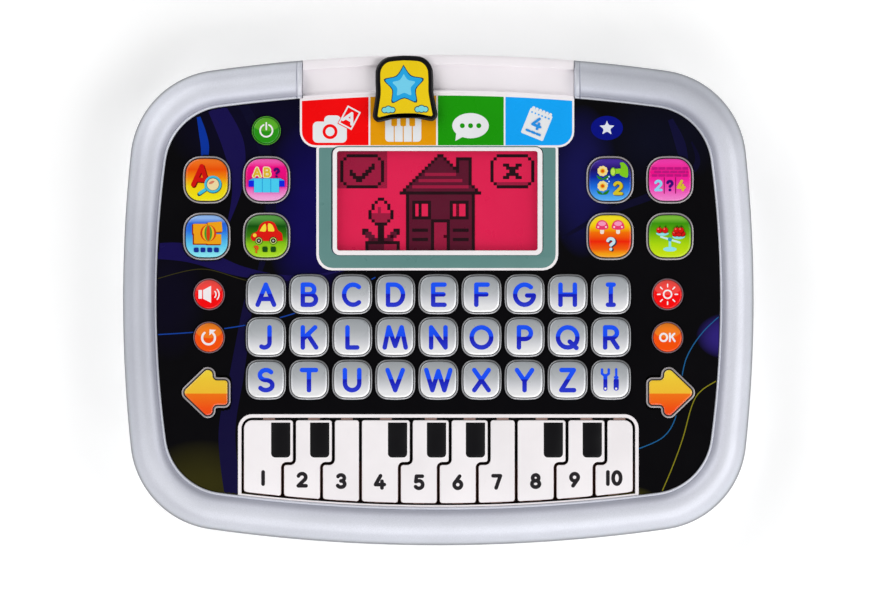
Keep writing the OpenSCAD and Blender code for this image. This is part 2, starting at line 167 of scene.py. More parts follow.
def moved(points, dx, dy, turn=0.0, size=1.0):
    """Points grown, turned by degrees and then moved."""
    c = math.cos(math.radians(turn)) * size
    s = math.sin(math.radians(turn)) * size
    return [(dx + x * c - y * s, dy + x * s + y * c) for x, y in points]


def circle(x, y, r, n=32, ry=None):
    return arc((x, y), r, ry or r, 0, 360, n)[:-1]


def rounded(x0, y0, x1, y1, r, n=5):
    """A rectangle with rounded corners; r is one radius, or four from the upper right anticlockwise."""
    r = r if isinstance(r, tuple) else (r,) * 4
    corners = [(x1 - r[0], y1 - r[0]), (x0 + r[1], y1 - r[1]),
               (x0 + r[2], y0 + r[2]), (x1 - r[3], y0 + r[3])]
    return [q for k, c in enumerate(corners) for q in arc(c, r[k], r[k], 90 * k, 90 * k + 90, n)]


def smooth_path(points, steps=8):
    """A Catmull-Rom curve through the points."""
    p = [points[0]] + list(points) + [points[-1]]
    made = []
    for i in range(1, len(p) - 2):
        for k in range(steps):
            t = k / steps
            made.append(tuple(
                0.5 * (2 * b + (c - a) * t + (2 * a - 5 * b + 4 * c - d) * t * t
                       + (3 * b - a - 3 * c + d) * t ** 3)
                for a, b, c, d in zip(p[i - 1], p[i], p[i + 1], p[i + 2])))
    return made + [tuple(points[-1])]


# --- materials


def srgb(r, g, b):
    return tuple(c / 12.92 if c <= 0.04045 else ((c + 0.055) / 1.055) ** 2.4
                 for c in (r / 255, g / 255, b / 255)) + (1.0,)


class Paint:
    """A node material, with helpers that add nodes and join them."""

    def __init__(self, name, rough=0.3, metallic=0.0, coat=0.0, glow=0.0, alpha=1.0, specular=0.5):
        self.material = bpy.data.materials.new(name)
        self.material.use_nodes = True
        self.tree = self.material.node_tree
        self.shader = self.tree.nodes["Principled BSDF"]
        for socket, value in (("Metallic", metallic), ("Specular IOR Level", specular), ("Alpha", alpha),
                              ("Coat Weight", coat), ("Coat Roughness", 0.08), ("Emission Strength", glow)):
            self.shader.inputs[socket].default_value = value
        self.object = self.add("ShaderNodeTexCoord").outputs["Object"]
        own = self.add("ShaderNodeAttribute")
        own.attribute_name = "local"
        self.local = own.outputs["Vector"]
        self.rough = rough

    def add(self, kind, **inputs):
        node = self.tree.nodes.new(kind)
        for name, value in inputs.items():
            self.put(node.inputs[name.replace("_", " ")], value)
        return node

    def put(self, socket, value):
        """A node's output is joined to the socket, a colour from 0 to 255 or a number is set on it."""
        if isinstance(value, bpy.types.NodeSocket):
            self.tree.links.new(value, socket)
        else:
            socket.default_value = srgb(*value) if isinstance(value, tuple) else value

    def math(self, operation, a, b=0.0, clamp=False):
        node = self.tree.nodes.new("ShaderNodeMath")
        node.operation = operation
        node.use_clamp = clamp
        self.put(node.inputs[0], a)
        self.put(node.inputs[1], b)
        return node.outputs[0]

    def noise(self, scale, detail=2.0):
        return self.add("ShaderNodeTexNoise", Vector=self.object, Scale=scale,
                        Detail=detail).outputs["Fac"]

    def spread(self, value, low_out, high_out, low_in=0.3, high_in=0.7):
        node = self.add("ShaderNodeMapRange", Value=value)
        for name, v in (("From Min", low_in), ("From Max", high_in),
                        ("To Min", low_out), ("To Max", high_out)):
            node.inputs[name].default_value = v
        return node.outputs["Result"]

    def ramp(self, value, stops):
        """Colours at positions of value, as (position, colour)."""
        first = stops[0][0]
        last = stops[-1][0]
        node = self.tree.nodes.new("ShaderNodeValToRGB")
        self.put(node.inputs["Fac"], self.spread(value, 0.0, 1.0, first, last))
        elements = node.color_ramp.elements
        while len(elements) < len(stops):
            elements.new(0.5)
        for element, (at, colour) in zip(elements, stops):
            element.position = (at - first) / (last - first)
        for element, (at, colour) in zip(elements, stops):
            element.color = srgb(*colour)
        return node.outputs["Color"]

    def mix(self, amount, a, b, kind="MIX"):
        node = self.tree.nodes.new("ShaderNodeMix")
        node.data_type = "RGBA"
        node.blend_type = kind
        self.put(node.inputs[0], amount)
        self.put(node.inputs[6], a)
        self.put(node.inputs[7], b)
        return node.outputs[2]

    def axis(self, vector, name):
        return self.add("ShaderNodeSeparateXYZ", Vector=vector).outputs[name]

    def blob(self, vector, x, y, rx, ry, soft=1.0):
        """1 at a point, falling to 0 on an ellipse round it."""
        dx = self.math("MULTIPLY", self.math("SUBTRACT", self.axis(vector, "X"), x), 1 / rx)
        dy = self.math("MULTIPLY", self.math("SUBTRACT", self.axis(vector, "Y"), y), 1 / ry)
        square = self.math("ADD", self.math("MULTIPLY", dx, dx), self.math("MULTIPLY", dy, dy))
        return self.math("MULTIPLY", self.math("SUBTRACT", 1.0, square, True), 1 / soft, True)

    def finish(self, colour, mottle=0.06, grain=900, bump=0.02, wear=0.06):
        """Colour with a slight cloud in it, an uneven gloss and a fine grain."""
        cloud = self.spread(self.noise(45, 3.0), 1 - mottle, 1 + mottle / 2)
        shade = self.add("ShaderNodeCombineColor", Red=cloud, Green=cloud, Blue=cloud)
        final = self.mix(1.0, colour, shade.outputs[0], "MULTIPLY")
        self.put(self.shader.inputs["Base Color"], final)
        if self.shader.inputs["Emission Strength"].default_value:
            self.put(self.shader.inputs["Emission Color"], final)
        uneven = self.spread(self.noise(130, 2.0), self.rough - wear / 2, self.rough + wear / 2)
        self.put(self.shader.inputs["Roughness"], uneven)
        fine = self.add("ShaderNodeBump", Strength=bump * 5, Distance=0.00006,
                        Height=self.noise(grain * 2, 2.0))
        self.put(self.shader.inputs["Normal"], fine.outputs["Normal"])
        return self.material


def plastic(name, colour, rough=0.3, mottle=0.05, bump=0.02, grain=900, **more):
    return Paint(name, rough, **more).finish(colour, mottle, grain, bump)


def gradient(name, stops, rough=0.22, **more):
    """Colours that change with the height on a piece, in millimetres from its middle."""
    paint = Paint(name, rough, **more)
    return paint.finish(paint.ramp(paint.axis(paint.local, "Y"), stops), 0.03)


def silver_paint_and_shade():
    """Fine metallic paint with painted shade: a little darker low on the side, darker on the inner slope of
    the band, and darker in two soft patches at the left and the upper right.
    """
    paint = Paint("silver_paint_and_shade", 0.48, metallic=0.22)
    flake = paint.spread(paint.noise(5200, 1.0), 0.9, 1.06, 0.35, 0.65)
    tint = paint.add("ShaderNodeCombineColor", Red=flake, Green=flake, Blue=flake)
    # Painted shade by height: lightest at the top of the ring, darker down the side to the parting line.
    side = paint.ramp(paint.axis(paint.local, "Z"), [
        (PARTING, (104, 108, 116)), (FRAME_TOP - 8.5, (128, 132, 140)), (FRAME_TOP - 6.4, (186, 189, 198)),
        (FRAME_TOP - 4.5, (212, 215, 225)), (FRAME_TOP - 1.5, (226, 228, 238)),
        (FRAME_TOP, (234, 236, 245))])
    # Painted shade across the band: darker on its inner slope, bright again at the lip.
    across = paint.ramp(paint.axis(paint.local, "X"), [
        (0, (255, 255, 255)), (7.5, (254, 254, 255)), (9.8, (246, 246, 249)), (11.4, (208, 208, 214)),
        (12.1, (208, 208, 214)), (12.5, (255, 255, 255)), (BAND_WIDE, (255, 255, 255))])
    colour = paint.mix(1.0, paint.mix(1.0, side, across, "MULTIPLY"), tint.outputs[0], "MULTIPLY")
    # Two soft patches of painted shade, at the left and at the upper right of the ring.
    for x, y, rx, ry, strength in ((-122, 0, 34, 74, 0.36), (92, 88, 60, 34, 0.3)):
        reach = paint.blob(paint.object, x * MM, y * MM, rx * MM, ry * MM)
        colour = paint.mix(paint.math("MULTIPLY", reach, strength), colour, (120, 126, 140))
    return paint.finish(colour, 0.04, 2600, 0.05)


def face_paint():
    """Near-black print with indigo and violet glows, and an olive painted sheen low at the left."""
    paint = Paint("face_paint", 0.22, specular=0.22)
    colour = (7, 6, 9)
    # The olive patch at (-92, -76) is a painted sheen; the other patches are print.
    glows = [(-66, 66, 40, 22, (10, 6, 44), 0.7), (-50, 34, 18, 36, (18, 8, 92), 0.85),
             (-104, 0, 14, 24, (14, 8, 44), 0.4), (56, 46, 14, 30, (22, 20, 84), 0.9),
             (86, 62, 26, 18, (10, 12, 34), 0.7), (-92, -76, 26, 22, (70, 66, 18), 0.55),
             (74, -79, 12, 7, (84, 80, 10), 0.7), (112, -14, 12, 9, (60, 44, 150), 0.8)]
    millimetres = paint.add("ShaderNodeVectorMath", Vector=paint.object)
    millimetres.operation = "SCALE"
    millimetres.inputs["Scale"].default_value = 1 / MM
    for x, y, rx, ry, tone, strength in glows:
        reach = paint.blob(millimetres.outputs[0], x, y, rx, ry)
        colour = paint.mix(paint.math("MULTIPLY", reach, strength), colour, tone)
    return paint.finish(colour, 0.15, 1500, 0.008, 0.04)


def cap_paint():
    """Silver key cap: grey above, near white below, with a fainter gloss patch."""
    paint = Paint("cap_paint", 0.3, metallic=0.15, coat=0.3)
    colour = paint.ramp(paint.axis(paint.local, "Y"), [
        (-7.2, (255, 255, 255)), (-4.6, (252, 252, 254)), (-2.2, (228, 229, 234)),
        (0.4, (200, 203, 207)), (2.6, (178, 182, 186)), (7.2, (150, 155, 160))])
    gloss = paint.blob(paint.local, 0, 3.4, 6.2, 3.9, 0.12)
    colour = paint.mix(paint.math("MULTIPLY", gloss, 0.22), colour, (214, 218, 222))
    return paint.finish(colour, 0.04, 2200, 0.03)


def round_paint(name, dark, lit):
    """A domed button: lighter inside an upper patch, darker below and at its edge."""
    paint = Paint(name, 0.2, coat=0.2, specular=0.25)
    edge = tuple(c * 0.7 for c in dark)
    colour = paint.mix(paint.blob(paint.local, 0, -1.2, 7.4, 6.2, 0.5), edge, dark)
    gloss = paint.blob(paint.local, 0, 3.0, 5.6, 3.4, 0.15)
    return paint.finish(paint.mix(paint.math("MULTIPLY", gloss, 0.6), colour, lit), 0.03)


WHITE = plastic("white_gloss", (254, 248, 250), 0.25)
RAIL_WHITE = plastic("rail_white", (253, 247, 251), 0.34)
CASE_WHITE = plastic("case_white", (226, 227, 230), 0.5, 0.05, 0.22, 1400)
SILVER = silver_paint_and_shade()
FACE = face_paint()
CAP = cap_paint()
# The key rim is lighter on its lower side and darker on its upper side: painted shade.
RIM = gradient("key_rim", [(-8, (206, 206, 210)), (-5, (176, 176, 180)), (2, (146, 147, 150)),
                           (8, (138, 139, 142))], 0.28, metallic=0.35)
RIM_PALE = plastic("rim_pale", (176, 170, 172), 0.26, metallic=0.25)
RIM_PINK = plastic("rim_pink", (170, 140, 150), 0.26, metallic=0.2)
SHADOW_LINE = plastic("shadow_line", (34, 26, 26), 0.5)
# Grey painted shade on the walls of the groove between a key's rim and its cap.
GREY_SHADE_LINE = plastic("grey_shade_line", (96, 98, 100), 0.4, metallic=0.2)
BLACK = plastic("gloss_black", (16, 15, 18), 0.3, specular=0.3)
# Black as painted shade: the screws' cross recesses and the upper part of the piano's well.
SLOT_SHADE = plastic("slot_shade", (12, 10, 10), 0.55)
SLOT_BROWN = plastic("slot_brown", (84, 48, 34), 0.55)
PIANO = plastic("piano_white", (255, 250, 252), 0.24)
TEAL = plastic("teal_print", (100, 143, 139), 0.3)
INK = gradient("letter_ink", [(-4.6, (44, 60, 214)), (-0.4, (14, 24, 190)), (0.05, (14, 40, 200)),
                              (0.25, (20, 78, 252)), (4.6, (24, 88, 255))], 0.25)
DIGIT = plastic("digit_ink", (34, 30, 34), 0.3)
CRIMSON = plastic("lcd_crimson", (216, 28, 76), 0.3, 0.03, glow=0.35)
MAROON = plastic("lcd_maroon", (96, 14, 44), 0.3, 0.03, glow=0.12)
ROSE = plastic("lcd_rose", (160, 22, 62), 0.3, 0.03, glow=0.2)
LCD_DARK = plastic("lcd_dark", (36, 2, 14), 0.3, 0.03, glow=0.05)
STEEL = plastic("steel", (150, 150, 154), 0.3, metallic=0.9, bump=0.06)
RUBBER = plastic("rubber", (52, 54, 56), 0.7, bump=0.15)
BOARD = plastic("board", (148, 108, 52), 0.5)
CELL = gradient("cell_wrap", [(-20, (168, 118, 34)), (0, (196, 150, 60)), (20, (168, 118, 34))], 0.3)
LENS = plastic("lens", (14, 14, 18), 0.06, 0.02, 0.004, alpha=0.05)
YELLOW = plastic("yellow_print", (247, 212, 16), 0.28)
PRINTS = {}


def printed(colour):
    """The printing ink of a colour, made once for each."""
    if colour not in PRINTS:
        PRINTS[colour] = plastic("ink_%02x%02x%02x" % colour, colour, 0.28, specular=0.2)
    return PRINTS[colour]


# --- pieces


# Rise from one print to the next one over it, and within one print.
NEXT = 0.015
SAME = 0.0015


def evaluated(thing):
    """A new mesh of an object as it is with its modifiers."""
    bpy.context.view_layer.update()
    return bpy.data.meshes.new_from_object(thing.evaluated_get(bpy.context.evaluated_depsgraph_get()))


class Piece:
    """A mesh under construction. Layers rise a little with each print, so none share a plane."""

    def __init__(self, name, middle=(0, 0)):
        self.name = name
        self.middle = middle
        self.points = []
        self.faces = []
        self.tones = []
        self.paints = []
        self.rise = 0.0
        self.own = None

    def tone(self, paint):
        """The number of a paint, which may be given as the colour of a printing ink."""
        if isinstance(paint, tuple):
            paint = printed(paint)
        if paint not in self.paints:
            self.paints.append(paint)
        return self.paints.index(paint)

    def mesh(self, points, faces, paint):
        start = len(self.points)
        self.points += [tuple(p) for p in points]
        self.faces += [[start + i for i in f] for f in faces]
        self.tones += [self.tone(paint)] * len(faces)

    def loft(self, rows, paints, capped=True):
        """Skins rows of points, each a closed loop. paints is one paint, or one for each strip."""
        paints = paints if isinstance(paints, list) else [paints]
        n = len(rows[0])
        start = len(self.points)
        last = start + (len(rows) - 1) * n
        self.points += [tuple(p) for row in rows for p in row]
        for i in range(len(rows) - 1):
            a = start + i * n
            tone = self.tone(paints[min(i, len(paints) - 1)])
            for j in range(n):
                k = (j + 1) % n
                self.faces.append([a + j, a + k, a + n + k, a + n + j])
            self.tones += [tone] * n
        if capped:
            self.faces.append([start + j for j in range(n - 1, -1, -1)])
            self.faces.append([last + j for j in range(n)])
            self.tones += [self.tone(paints[0]), self.tone(paints[-1])]

    def plate(self, points, z, paint, thick=0.05, step=NEXT):
        """A thin printed shape, a step above the last one on the level z."""
        self.rise += step
        n = len(points)
        triangles = geometry.tessellate_polygon([[Vector((x, y, 0)) for x, y in points]])
        upper = [(x, y, z + self.rise) for x, y in points]
        lower = [(x, y, h - thick - self.rise) for x, y, h in upper]
        area = sum(points[i - 1][0] * points[i][1] - points[i][0] * points[i - 1][1] for i in range(n))
        walls = [[i, (i + 1) % n, (i + 1) % n + n, i + n] for i in range(n)]
        tops = []
        for a, b, c in triangles:
            u = Vector(points[b]) - Vector(points[a])
            v = Vector(points[c]) - Vector(points[a])
            tops.append([a, b, c] if u.x * v.y - u.y * v.x > 0 else [a, c, b])
        if area > 0:
            walls = [list(reversed(w)) for w in walls]
        self.mesh(upper + lower, tops + walls, paint)

    def stroke(self, path, width, z, paint, thick=0.05):
        """A rounded line along a path of points."""
        r = width / 2
        first = True
        for (x0, y0), (x1, y1) in zip(path, path[1:]):
            turn = math.degrees(math.atan2(y1 - y0, x1 - x0))
            shape = arc((x1, y1), r, r, turn - 90, turn + 90, 8)
            shape += arc((x0, y0), r, r, turn + 90, turn + 270, 8)
            self.plate(shape, z, paint, thick, NEXT if first else SAME)
            first = False

    def slab(self, loops, z0, z1, bevel, paint, steps=3):
        """A solid with rounded edges from one or more 2D loops; later loops are holes."""
        curve = bpy.data.curves.new("slab", "CURVE")
        curve.dimensions = "2D"
        curve.fill_mode = "BOTH"
        for loop in loops:
            spline = curve.splines.new("POLY")
            spline.points.add(len(loop) - 1)
            for point, (x, y) in zip(spline.points, loop):
                point.co = (x, y, 0, 1)
            spline.use_cyclic_u = True
        curve.extrude = (z1 - z0) / 2 - bevel
        curve.bevel_depth = bevel
        curve.bevel_resolution = steps
        curve.offset = -bevel
        holder = bpy.data.objects.new("slab", curve)
        scene.collection.objects.link(holder)
        made = evaluated(holder)
        work = bmesh.new()
        work.from_mesh(made)
        bmesh.ops.remove_doubles(work, verts=work.verts, dist=0.0005)
        bmesh.ops.recalc_face_normals(work, faces=work.faces)
        middle = (z0 + z1) / 2
        work.verts.ensure_lookup_table()
        work.verts.index_update()
        self.mesh([(v.co.x, v.co.y, v.co.z + middle) for v in work.verts],
                  [[v.index for v in f.verts] for f in work.faces], paint)
        work.free()
        bpy.data.objects.remove(holder)
        bpy.data.curves.remove(curve)
        bpy.data.meshes.remove(made)

    def build(self, body, nodes=(), sharp=35):
        data = bpy.data.meshes.new(self.name)
        data.from_pydata([Vector(p) * MM for p in self.points], [], self.faces)
        for paint in self.paints:
            data.materials.append(paint)
        data.polygons.foreach_set("material_index", self.tones)
        data.polygons.foreach_set("use_smooth", [True] * len(data.polygons))
        own = data.attributes.new("local", "FLOAT_VECTOR", "POINT")
        cx, cy = self.middle
        places = self.own or [(x - cx, y - cy, z) for x, y, z in self.points]
        own.data.foreach_set("vector", [value for place in places for value in place])
        data.validate()
        data.set_sharp_from_angle(angle=math.radians(sharp))
        made = bpy.data.objects.new(self.name, data)
        scene.collection.objects.link(made)
        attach(made, body)
        if nodes:
            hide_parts(*nodes)
        return made


class Art:
    """Prints on one level of a piece, in lengths from a place and after a turn about it."""

    def __init__(self, piece, z, x=0.0, y=0.0, turn=0.0):
        self.piece = piece
        self.z = z
        self.place = (x, y, turn)

    def turned(self, x, y, turn):
        """The same print about another place, from one without a turn."""
        return Art(self.piece, self.z, self.place[0] + x, self.place[1] + y, turn)

    def shape(self, points, tone, step=NEXT, thick=0.05):
        self.piece.plate(moved(points, *self.place), self.z, tone, thick, step)

    def disc(self, x, y, r, tone, n=32, ry=None, step=NEXT):
        self.shape(circle(x, y, r, n, ry), tone, step)

    def box(self, x0, y0, x1, y1, r, tone, n=5, step=NEXT):
        self.shape(rounded(x0, y0, x1, y1, r, n), tone, step)

    def line(self, path, width, tone, thick=0.05):
        self.piece.stroke(moved(path, *self.place), width, self.z, tone, thick)

    def sign(self, char, size, x, y, width, tone, wide=1.0, turn=0.0, thick=0.05):
        """A letter or number of half height size about a point."""
        for path in GLYPHS[char]:
            self.line(moved([(px * wide, py) for px, py in path], x, y, turn, size), width, tone, thick)


# --- casings

# Places across the band and depth below the frame's top: the crown, then the lip beside the face.
CROWN = [(0, 13.5), (0.034, 9.0), (0.07, 5.8), (0.16, 3.1), (0.29, 1.2), (0.43, 0.28), (0.56, 0),
         (0.69, 0.32), (0.81, 1.2), (0.915, 2.4)]
LIP = [(0.925, 2.75), (0.94, 2.55), (0.965, 2.42), (0.985, 2.6), (0.997, 3.0)]
RING_SECTION = [(0.012, PARTING), (0, PARTING + 0.3)]
RING_SECTION += [(t, FRAME_TOP - drop) for t, drop in smooth_path(CROWN, 5) + LIP]
RING_SECTION += [(1, PANEL_TOP - 0.4), (1, PANEL_LOW - 0.4)]
RAIL_EDGE = RAIL_HALF + 0.15
# Rounded ends of the ring: distance from the rail's edge and drop of the surface there.
END_BEVEL = [(1.8, 0), (0.8, 0), (0.55, 0.3), (0.3, 0.35), (0.1, 0.15), (-0.6, 0.02), (-1.2, 0.12),
             (-1.6, 0.6), (-1.75, 1.6)]
# Places across the band whose painted shade the last rows at each end of the ring take: the outer five left
# bright as a painted highlight, the next two darkened as a painted shade line.
END_SHADE = [12.9] * 5 + [11.6] * 2


def front_frame():
    """The ring, open at the rail, with rounded ends there."""
    piece = Piece("frame_ring")
    stops = [RAIL_EDGE + d for d, drop in END_BEVEL]
    rows = []
    for t, z in RING_SECTION:
        p = band(t)
        upper = quarter(p, stops)
        lower = quarter(p, [0])
        fall = [0] * (len(upper) - len(stops)) + [drop for d, drop in END_BEVEL]
        share = min(1.0, max(0.0, (z - PARTING - 4) / 8))
        right = [(x, y, z - f * share) for (x, y), f in zip(upper, fall)]
        row = right[::-1] + [(x, -y, z) for x, y in lower[1:]]
        left = [(-x, y, z) for x, y, z in row[::-1]]
        rows.append(row + left[1:])
    count = len(rows[0])
    piece.loft([[row[j] for row in rows] for j in range(count)], SILVER)
    # Places read by the ring's painted shade; the ends take those of END_SHADE.
    piece.own = []
    for j in range(count):
        end = min(j, count - 1 - j)
        for t, z in RING_SECTION:
            across = END_SHADE[end] if end < len(END_SHADE) else t * BAND_WIDE
            piece.own.append((across, 0, z))
    return piece.build("tablet", ["front_frame"], 28)


def cut(target, solids):
    """Takes solids, each an outline with its levels and bevel, out of the target."""
    piece = Piece("cutter")
    for loop, z0, z1, bevel in solids:
        piece.slab([loop], z0, z1, bevel, CASE_WHITE, 1)
    cutter = piece.build("tablet")
    change = target.modifiers.new("cut", "BOOLEAN")
    change.operation = "DIFFERENCE"
    change.solver = "EXACT"
    change.object = cutter
    made = evaluated(target)
    target.modifiers.clear()
    target.data = made
    bpy.data.objects.remove(cutter)


BACK = 1.0
BACK_FLOOR = 3.0
DOOR = (low("battery_door").x, low("battery_door").y + 2.8, high("battery_door").x, high("battery_door").y)
DOOR_SCREW = (0, 20.6)
DOOR_TAB = 20
BAY = (-29.5, -16, 29.5, 15.6)
SPEAKER = centre("speaker")
SCREWS = [(sx * 103.6, sy * 72.8) for sx in (-1, 1) for sy in (-1, 1)] + [(-115.9, 0), (115.9, 0)]
FEET = [(x, y) for x in (-70, 70) for y in (-62, 62)]


def rear_case():
    section = [(0.17, PARTING + 1.9), (0.17, PARTING - 0.1), (0.012, PARTING - 0.1), (0, PARTING - 0.4)]
    section += smooth_path([(0, 10.5), (0.05, 7), (0.16, 4), (0.34, 1.9), (0.55, BACK)], 6)
    piece = Piece("back_shell")
    piece.loft([[(x, y, z) for x, y in outline(band(t))] for t, z in section], CASE_WHITE)
    shell = piece.build("tablet", ["rear_case"], 32)
    x0, y0, x1, y1 = DOOR
    cut(shell, [(rounded(x0 - 0.3, y0 - 0.3, x1 + 0.3, y1 + 0.3, 2), BACK - 2, BACK_FLOOR, 0.2)])
    cut(shell, [(rounded(*BAY, 1), BACK - 1, high("battery_cells").z + 0.7, 0.1)])
    pockets = [(rounded(x - 4.6, y0 - 4.4, x + 4.6, BAY[1] + 0.3, 0.4), BACK_FLOOR - 0.3, BACK_FLOOR + 3,
                0.1) for x in (-DOOR_TAB, DOOR_TAB)]
    cut(shell, pockets + [(circle(*DOOR_SCREW, 2.0), BACK, BACK_FLOOR + 6, 0.1)])
    wells = [(circle(x, y, 3.1), BACK - 1, 6, 0.1) for x, y in SCREWS]
    for k in range(-3, 4):
        half = math.sqrt(16 ** 2 - (k * 4.2) ** 2)
        y = SPEAKER.y + k * 4.2
        slit = rounded(SPEAKER.x - half, y - 0.9, SPEAKER.x + half, y + 0.9, 0.88)
        wells.append((slit, BACK - 1, BACK_FLOOR + 0.15, 0.15))
    cut(shell, wells)
    shell.data.set_sharp_from_angle(angle=math.radians(32))
    pads = Piece("feet")
    for x, y in FEET:
        pads.slab([circle(x, y, 6, 40)], 0, BACK + 0.6, 0.35, RUBBER)
    pads.build("tablet")


def battery_door():
    piece = Piece("door", centre("battery_door"))
    x0, y0, x1, y1 = DOOR
    piece.slab([rounded(x0, y0, x1, y1, 1.7), circle(*DOOR_SCREW, 3.1)], BACK, 2.9, 0.35, CASE_WHITE)
    for x in (-DOOR_TAB, DOOR_TAB):
        piece.slab([rounded(x - 4, y0 - 2.8, x + 4, y0 + 1.4, 0.5)], 3.2, 4.4, 0.2, CASE_WHITE, 2)
        piece.slab([rounded(x - 4, y0 + 0.2, x + 4, y0 + 1.4, 0.3)], 2.4, 4.4, 0.1, CASE_WHITE, 1)
    for x in (-17, 17):
        for k in range(4):
            y = y1 - 2.4 * k
            grip = rounded(x - 7, y - 3, x + 7, y - 2, 0.45)
            piece.slab([grip], BACK - 0.35, BACK + 0.3, 0.2, CASE_WHITE, 2)
    screw(piece, DOOR_SCREW, BACK + 0.15, BACK_FLOOR + 2.4)
    piece.build("battery_door", ["battery_door"])


def screw(piece, at, z0, z1):
    """A crossed pan head at z0, facing down, and its shank up to z1."""
    section = [(1.9, z0 + 0.02), (2.3, z0 + 0.06), (2.7, z0 + 0.3), (2.7, z0 + 0.8), (1.4, z0 + 0.85),
               (1.4, z1)]
    piece.loft([[(x, y, z) for x, y in circle(*at, r, 36)] for r, z in section], STEEL)
    # A black cross paints the shade of the head's cross recess.
    for turn in (0, 90):
        arm = moved(rounded(-1.7, -0.32, 1.7, 0.32, 0.2, 2), *at, turn)
        piece.slab([arm], z0 - 0.06, z0 + 0.1, 0.02, SLOT_SHADE, 1)


def case_screws():
    piece = Piece("screws")
    for at in SCREWS:
        screw(piece, at, 3.9, PARTING - 3)
    piece.build("tablet", ["case_screws"])


RAIL_TOP = PANEL_TOP + 0.4
RAIL_Y = -558.7
TRACK_R = 645


def mode_rail():
    """White rail: a flat track between a thin front lip and a raised back lip."""
    piece = Piece("rail")
    back = HALF_H - RAIL_Y
    front = INNER[1] - RAIL_Y + 0.05
    step = TRACK_R + 5.2
    # Distance from a lip's or the step's own radius, and depth below the rail's top.
    back_lip = [(0, 8), (-0.05, 2.0), (-0.2, 0.9), (-0.5, 0.3), (-0.9, 0.06), (-1.4, 0)]
    riser = [(0.35, 0), (0.1, 0.1), (0, 0.35), (0, 1.3), (-0.2, 1.5)]
    front_lip = [(1.5, 1.5), (1.2, 1.35), (1.1, 1.0), (1.05, 0.2), (0.85, 0), (0.25, 0), (0, 0.25), (0, 4)]
    section = [(back - 2, PARTING), (back, PARTING)]
    for start, part in ((back, back_lip), (step, riser), (front, front_lip)):
        section += [(start + d, RAIL_TOP - drop) for d, drop in part]
    section.append((back - 2, RAIL_TOP - 6))
    rows = []
    n = 48
    for i in range(n + 1):
        x = (RAIL_HALF - 1.8) * (2 * i / n - 1)
        rows.append([(x, RAIL_Y + math.sqrt(q * q - x * x), h) for q, h in section][::-1])
    piece.loft(rows, RAIL_WHITE)
    piece.build("tablet", ["mode_rail"], 40)


# --- slider

KNOB_LOW = FRAME_TOP - 2.3
KNOB_TOP = high("mode_slider").z
KNOB_FACE = KNOB_TOP - 0.35
KNOB_X = -13.1


def knob_outline(d=0.0):
    """Bread-slice outline about the slider's middle, moved in by d."""
    right = [(0, -11.4), (4.5, -11.6), (7.8, -12.3)]
    foot = arc((9.8, -10.0), 2.8, 2.8, -80, 20, 4)
    side = [(11.9, -6.0), (11.2, -1.5), (11.25, 3.0)]
    crown = arc((4.7, 5.7), 6.5, 6.9, 8, 80, 8) + [(3.0, 12.8), (0, 12.95)]
    half = smooth_path(right + foot + side + crown, 4)
    return shrink(half + [(-x, y) for x, y in half[-2:0:-1]], d)


def star(x, y, r, inner=0.55):
    """A rounded star."""
    points = []
    for k in range(10):
        q = r if k % 2 == 0 else r * inner
        a = math.radians(90 + 36 * k)
        points.append((x + q * math.cos(a), y + q * math.sin(a)))
    return smooth_path(points + [points[0]], 4)[:-1]


def mode_slider():
    """The knob, leaning with the track, with a star and two small clouds on its face."""
    piece = Piece("knob", centre("mode_slider"))
    tilt = math.degrees(math.asin(-KNOB_X / TRACK_R))
    place = (KNOB_X, RAIL_Y + math.sqrt(TRACK_R ** 2 - KNOB_X ** 2) - 4.3, tilt)
    edge = [(0.9, KNOB_LOW), (0.3, KNOB_LOW + 0.1), (0, KNOB_LOW + 0.4), (0, KNOB_TOP - 1.2),
            (0.12, KNOB_TOP - 0.75), (0.4, KNOB_TOP - 0.45), (0.8, KNOB_FACE), (1.7, KNOB_FACE)]
    piece.loft([[(x, y, z) for x, y in moved(knob_outline(d), *place)] for d, z in edge], BLACK)
    art = Art(piece, KNOB_FACE, *place)
    art.shape(knob_outline(1.95), YELLOW, thick=0.3)
    for r, tone in ((8.2, (14, 40, 84)), (7.6, (40, 172, 234)), (4.6, (120, 214, 244))):
        art.shape(star(-0.2, 1.2, r, 0.6), tone, thick=0.1)
    for x in (-6.4, 6.4):
        for grow, tone in ((0.3, (14, 60, 90)), (0, (130, 224, 232))):
            for dx, dy, q in ((0, 0, 1.25), (-1.5, -0.2, 0.95), (1.5, -0.2, 0.95)):
                art.shape(circle(x + dx, dy - 7.9, q + grow, 18), tone, 0.01, 0.1)
    foot = moved(rounded(-9, -0.4, 9, 8.9, 1), *place)
    piece.slab([foot], RAIL_TOP - 1.4, KNOB_LOW + 0.3, 0.2, BLACK, 1)
    piece.build("mode_slider", ["mode_slider"])


# --- face print

TILE = 26.2
TILE_Y = 60.0
TILES_LEFT = -2 * TILE - 0.5
TILE_TONES = [(255, 6, 10), (238, 160, 6), (28, 156, 8), (18, 170, 255)]
PALE = (240, 242, 244)


def tile_outline(x0, x1, y0, r_left, r_right, d):
    """One mode tile: straight below, following the face's edge above."""
    top = [(x1 - (x1 - x0) * i / 10, top_edge(x1 - (x1 - x0) * i / 10, 0.25 + d)) for i in range(11)]
    left = arc((x0 + r_left, y0 + r_left), r_left, r_left, 180, 270, 6) if r_left else [(x0, y0)]
    right = arc((x1 - r_right, y0 + r_right), r_right, r_right, 270, 360, 6) if r_right else [(x1, y0)]
    return top + left + right


